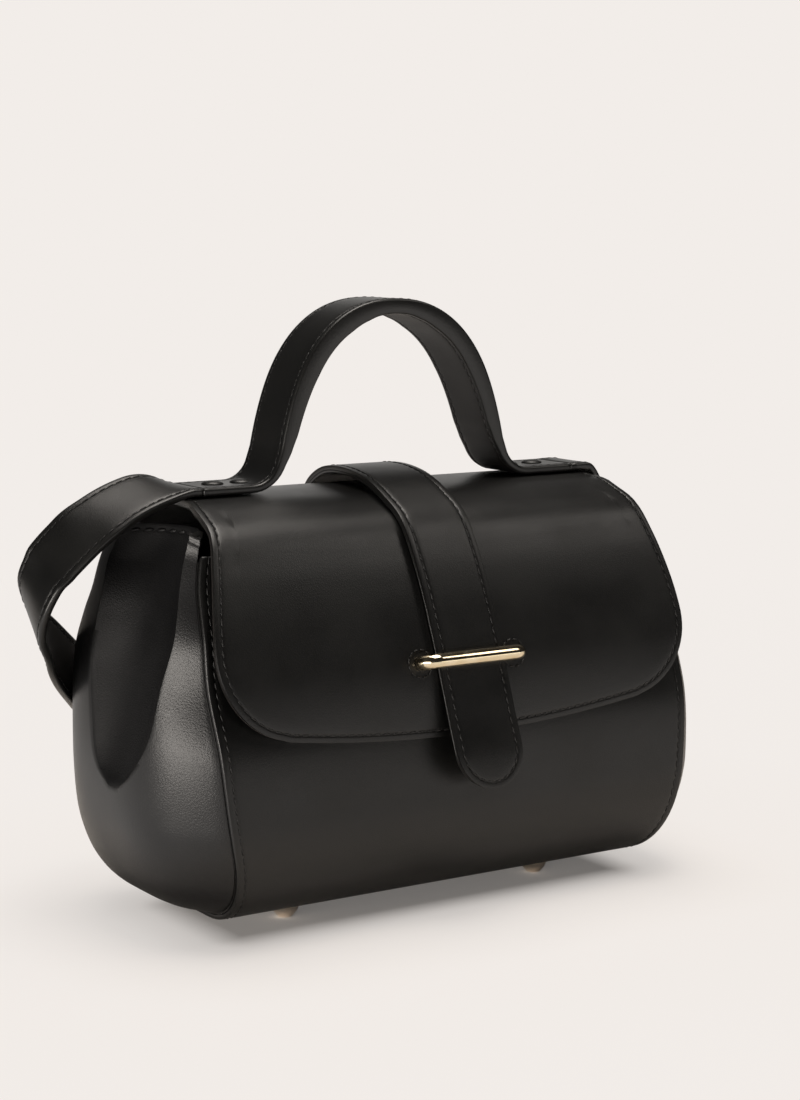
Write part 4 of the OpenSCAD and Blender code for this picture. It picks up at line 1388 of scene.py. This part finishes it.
@dataclass
class Fittings:
    """Metal loop, rivets and the small hardware that keeps its CAD shape."""

    maker: Maker
    straps: Straps
    wire_d: float = 7.0
    loop_room: float = 9.0
    thread_gap: float = 0.5
    bend_r: float = 5.5
    leg_in: float = 3.0
    ring_r: float = 6.4
    head_d: float = 10.5
    head_h: float = 1.7

    def build(self) -> None:
        """Builds and dresses the fittings."""
        self.loop()
        self.rivets()
        f = self.maker.finishes
        # The feet take the paler plating, whose colour paints their glints of reflected light
        plain = {f.glint_pale_gold: ["feet"], f.board: ["base_board", "crest_stiffener"],
                 f.steel: ["foot_nuts", "panel_magnet", "magnet_washer", "rivet_backs",
                           "loop_plate", "loop_nuts", "flap_magnet"]}
        for material, nodes in plain.items():
            for node in nodes:
                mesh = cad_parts[node].data
                mesh.materials.clear()
                mesh.materials.append(material)
                LOG.info("node %s: %s", node, material.name)

    def loop(self) -> None:
        """Builds the polished loop, bent from wire, with a sewn ring round each leg."""
        s = self.straps
        width = s.strap_w + self.loop_room + self.wire_d
        bar = s.seat + s.strap_t + s.strap_lining_t + self.thread_gap + self.wire_d / 2
        here = FLAP_PATH.length_at(s.loop_z)
        p, n = FLAP_PATH.at(here), FLAP_PATH.out(here)
        axes = Vector((1, 0, 0)), Vector((0, n.y, -n.x)), Vector((0, n.x, n.y))
        seat = Matrix(axes).transposed().to_4x4()
        seat.translation = Vector((0, p.x, p.y))
        bm = bmesh.new()
        end = Matrix.Translation((-width / 2, 0, -self.leg_in))
        ring = bmesh.ops.create_circle(bm, segments=32, radius=self.wire_d / 2, matrix=end)["verts"]
        edges = list({e for v in ring for e in v.link_edges})

        def draw(edges: list[bmesh.types.BMEdge], step: Vector) -> list[bmesh.types.BMEdge]:
            made = bmesh.ops.extrude_edge_only(bm, edges=edges)["geom"]
            verts = [g for g in made if isinstance(g, bmesh.types.BMVert)]
            bmesh.ops.translate(bm, verts=verts, vec=step)
            return [g for g in made if isinstance(g, bmesh.types.BMEdge)
                    and all(v in verts for v in g.verts)]

        def bend(edges: list[bmesh.types.BMEdge], centre: Vector) -> list[bmesh.types.BMEdge]:
            verts = list({v for e in edges for v in e.verts})
            made = bmesh.ops.spin(bm, geom=verts + edges, cent=centre, axis=(0, 1, 0),
                                  dvec=(0, 0, 0), angle=math.pi / 2, steps=12)["geom_last"]
            return [g for g in made if isinstance(g, bmesh.types.BMEdge)]

        edges = draw(edges, Vector((0, 0, bar - self.bend_r + self.leg_in)))
        edges = bend(edges, Vector((-width / 2 + self.bend_r, 0, bar - self.bend_r)))
        edges = draw(edges, Vector((width - 2 * self.bend_r, 0, 0)))
        edges = bend(edges, Vector((width / 2 - self.bend_r, 0, bar - self.bend_r)))
        draw(edges, Vector((0, 0, -(bar - self.bend_r + self.leg_in))))
        bmesh.ops.holes_fill(bm, edges=[e for e in bm.edges if e.is_boundary], sides=0)
        bmesh.ops.remove_doubles(bm, verts=bm.verts[:], dist=0.001)
        bmesh.ops.recalc_face_normals(bm, faces=bm.faces[:])
        bmesh.ops.transform(bm, matrix=seat, verts=bm.verts[:])
        self.maker.piece("loop_bar", bm, [self.maker.finishes.gold], Body.FLAP, Slot.GOLD,
                         ["closure_loop"])
        lines = []
        for side in (-1, 1):
            ring_line, r = [], self.ring_r
            for k in range(25):
                a = 2 * math.pi * k / 24
                local = Vector((side * width / 2 + r * math.cos(a), r * math.sin(a), BAND_SINK))
                ring_line.append((seat @ local, Vector((0, n.x, n.y))))
            lines.append(ring_line)
        self.maker.stitches("loop_ring_stitching", lines, Body.FLAP, 3.4, (2.6, 0.9, 0.7))

    def rivets(self) -> None:
        """Builds the low domed rivet heads on the handle's feet."""
        s, r, h = self.straps, self.head_d / 2, self.head_h
        profile = [(0.0, h), (0.3 * r, 0.97 * h), (0.6 * r, 0.82 * h), (0.82 * r, 0.58 * h),
                   (0.95 * r, 0.3 * h), (r, 0.08 * h), (0.97 * r, -0.1), (0.0, -0.1)]
        places = [side * (s.rivet_x + k * s.rivet_pitch) for side in (-1, 1) for k in (0, 1)]
        heads = [revolve(profile, Vector((x, FORM.handle_back, s.foot_top))) for x in places]
        self.maker.piece("rivet_heads", join(heads), [self.maker.finishes.lacquer], Body.FLAP,
                         Slot.BLACK, ["rivets"])


# Studio


@dataclass
class Studio:
    """Camera, pale floor and soft light."""

    yaw: float = 32.7375
    pitch: float = 7.9059
    distance: float = 1162.75
    look_x: float = 12.354
    look_z: float = 163.681
    focal_px: float = 2367.07
    frame_px: float = 1100.0
    sensor: float = 36.0
    backdrop: str = "#F2EDE9"
    footprint: tuple[float, float] = (0.105, 0.03)
    shadow_fade: Table = ((0.0, 0.14), (0.018, 0.58), (0.04, 0.72), (0.1, 0.89), (0.25, 0.97))

    def build(self) -> None:
        """Sets up the camera, the floor and the lamps."""
        scene = bpy.context.scene
        scene.view_settings.view_transform = "Standard"
        self.camera(scene)
        self.floor()
        self.world(scene)
        self.lamp("overhead softbox", (0.15, 0.05, 1.9), (0.05, 0.05, 0.0), (1.5, 1.0), 32.0)
        self.lamp("left strip", (-1.3, -0.5, 0.17), (-0.1, -0.5, 0.06), (1.2, 0.3), 14.0)
        self.lamp("right softbox", (0.95, -0.8, 1.2), (0.0, -0.05, 0.15), (0.5, 0.5), 2.7)
        self.lamp("front strip", (0.75, -1.15, 0.08), (0.0, -0.05, 0.08), (0.9, 0.14), 0.4)

    def camera(self, scene: bpy.types.Scene) -> None:
        """Makes the camera at the photograph's angle."""
        a, t = math.radians(self.yaw), math.radians(self.pitch)
        forward = Vector((math.sin(a) * math.cos(t), math.cos(a) * math.cos(t), -math.sin(t)))
        data = bpy.data.cameras.new("camera")
        data.sensor_width, data.lens = self.sensor, self.focal_px * self.sensor / self.frame_px
        data.clip_start, data.clip_end = 0.05, 50.0
        camera = bpy.data.objects.new("camera", data)
        target = Vector((self.look_x, FORM.handle_back + MID_Y, self.look_z)) * MM
        camera.location = target - forward * self.distance * MM
        camera.rotation_mode = "QUATERNION"
        camera.rotation_quaternion = forward.to_track_quat("-Z", "Y")
        scene.collection.objects.link(camera)
        scene.camera = camera

    def floor(self) -> None:
        """Lays the pale floor, which turns into the plain backdrop away from the bag."""
        bm = bmesh.new()
        bmesh.ops.create_circle(bm, cap_ends=True, segments=96, radius=6.0)
        mesh = bpy.data.meshes.new("floor")
        bm.to_mesh(mesh)
        bm.free()
        obj = bpy.data.objects.new("floor", mesh)
        bpy.context.scene.collection.objects.link(obj)
        material, tree, place = start("matt paper")
        fibre = noise(tree, place, 9.0, 3.0)
        lit = add(tree, "BsdfDiffuse", {"Color": shade(tree, fibre, "#EEE8E2", "#F0EAE4")})
        plain = add(tree, "Emission", {"Color": linear(self.backdrop), "Strength": 1.0})
        seen = add(tree, "LightPath").outputs
        direct = maths(tree, "MULTIPLY", self.clear_of_bag(tree, place), seen["Is Camera Ray"])
        mirrored = maths(tree, "MULTIPLY", self.mirrored(tree, place), seen["Is Glossy Ray"])
        share = maths(tree, "ADD", direct, mirrored)
        mixed = add(tree, "MixShader", {0: share, 1: lit.outputs[0], 2: plain.outputs[0]})
        add(tree, "OutputMaterial", {"Surface": mixed.outputs[0]})
        mesh.materials.append(material)

    def clear_of_bag(self, tree: Tree, place: Socket) -> Socket:
        """Gives how far the floor has turned into the backdrop, away from the bag's footprint."""
        past = vectors(tree, "SUBTRACT", vectors(tree, "ABSOLUTE", place), (*self.footprint, 0.0))
        away = vectors(tree, "LENGTH", vectors(tree, "MAXIMUM", past, (0.0, 0.0, 0.0)))
        fade = add(tree, "ValToRGB", {"Fac": away})
        stops = fade.color_ramp.elements
        for distance, level in self.shadow_fade[1:]:
            stops.new(distance).color = (level, level, level, 1.0)
        stops[0].color = (*[self.shadow_fade[0][1]] * 3, 1.0)
        return fade.outputs[0]

    def mirrored(self, tree: Tree, place: Socket) -> Socket:
        """Gives where the leather mirrors a bright floor: in front, at the left and far behind."""
        ahead = add(tree, "SeparateXYZ", {0: place}).outputs

        def fall(value: Socket, low: float, high: float) -> Socket:
            return remap(tree, value, (low, high), (1.0, 0.0), True)

        left = maths(tree, "MULTIPLY", fall(ahead["X"], -0.25, -0.14), fall(ahead["Y"], 0.5, 1.0))
        beside = maths(tree, "MAXIMUM", fall(ahead["Y"], -0.42, -0.12), left)
        patch = vectors(tree, "DISTANCE", place, (0.0, 0.6, 0.0))
        return maths(tree, "MAXIMUM", beside, fall(patch, 0.2, 0.38))

    def world(self, scene: bpy.types.Scene) -> None:
        """Fills the room with soft light, and shows the plain backdrop to the camera."""
        world = bpy.data.worlds.new("studio")
        scene.world = world
        world.use_nodes = True
        tree = world.node_tree
        tree.nodes.clear()
        seen = add(tree, "LightPath").outputs
        compass = add(tree, "TexCoord").outputs["Generated"]
        away = vectors(tree, "DOT_PRODUCT", compass, (-0.35, 0.9, 0.15))
        level = remap(tree, away, (-0.2, 0.8), (0.02, 0.06))
        wall = vectors(tree, "DOT_PRODUCT", compass, (0.535, 0.83, 0.15))
        pale = remap(tree, wall, (0.93, 0.99), (0.0, 0.9), True)
        shown = maths(tree, "MULTIPLY_ADD", pale, seen["Is Glossy Ray"], level)
        room = add(tree, "Background", {"Color": linear("#F2EFEB"), "Strength": shown})
        plain = add(tree, "Background", {"Color": linear(self.backdrop), "Strength": 1.0})
        mixed = add(tree, "MixShader", {0: seen["Is Camera Ray"], 1: room.outputs[0],
                                        2: plain.outputs[0]})
        add(tree, "OutputWorld", {"Surface": mixed.outputs[0]})

    def lamp(self, name: str, place: Sequence[float], target: Sequence[float],
             size: Sequence[float], power: float) -> None:
        """Hangs a softbox.

        Args:
            name: The lamp's name.
            place: Where it hangs, in metres.
            target: What it points at.
            size: Its width and height in metres.
            power: Its power in watts.
        """
        data = bpy.data.lights.new(name, "AREA")
        data.shape, data.energy = "RECTANGLE", power
        data.color = linear("#FFF8F0")[:3]
        data.size, data.size_y = size
        lamp = bpy.data.objects.new(name, data)
        lamp.location = place
        lamp.rotation_mode = "QUATERNION"
        lamp.rotation_quaternion = (Vector(target) - Vector(place)).to_track_quat("-Z", "Y")
        bpy.context.scene.collection.objects.link(lamp)


def main() -> None:
    """Builds the studio, then every piece of the bag."""
    logging.basicConfig(level=logging.INFO, format="%(name)s: %(message)s")
    Studio().build()
    maker = Maker(Finishes())
    straps = Straps(maker)
    straps.build()
    BagBody(maker).build()
    Flap(maker).build()
    Fittings(maker, straps).build()
    LOG.info("%d pieces", len(maker.made))


if __name__ == "__main__":
    main()
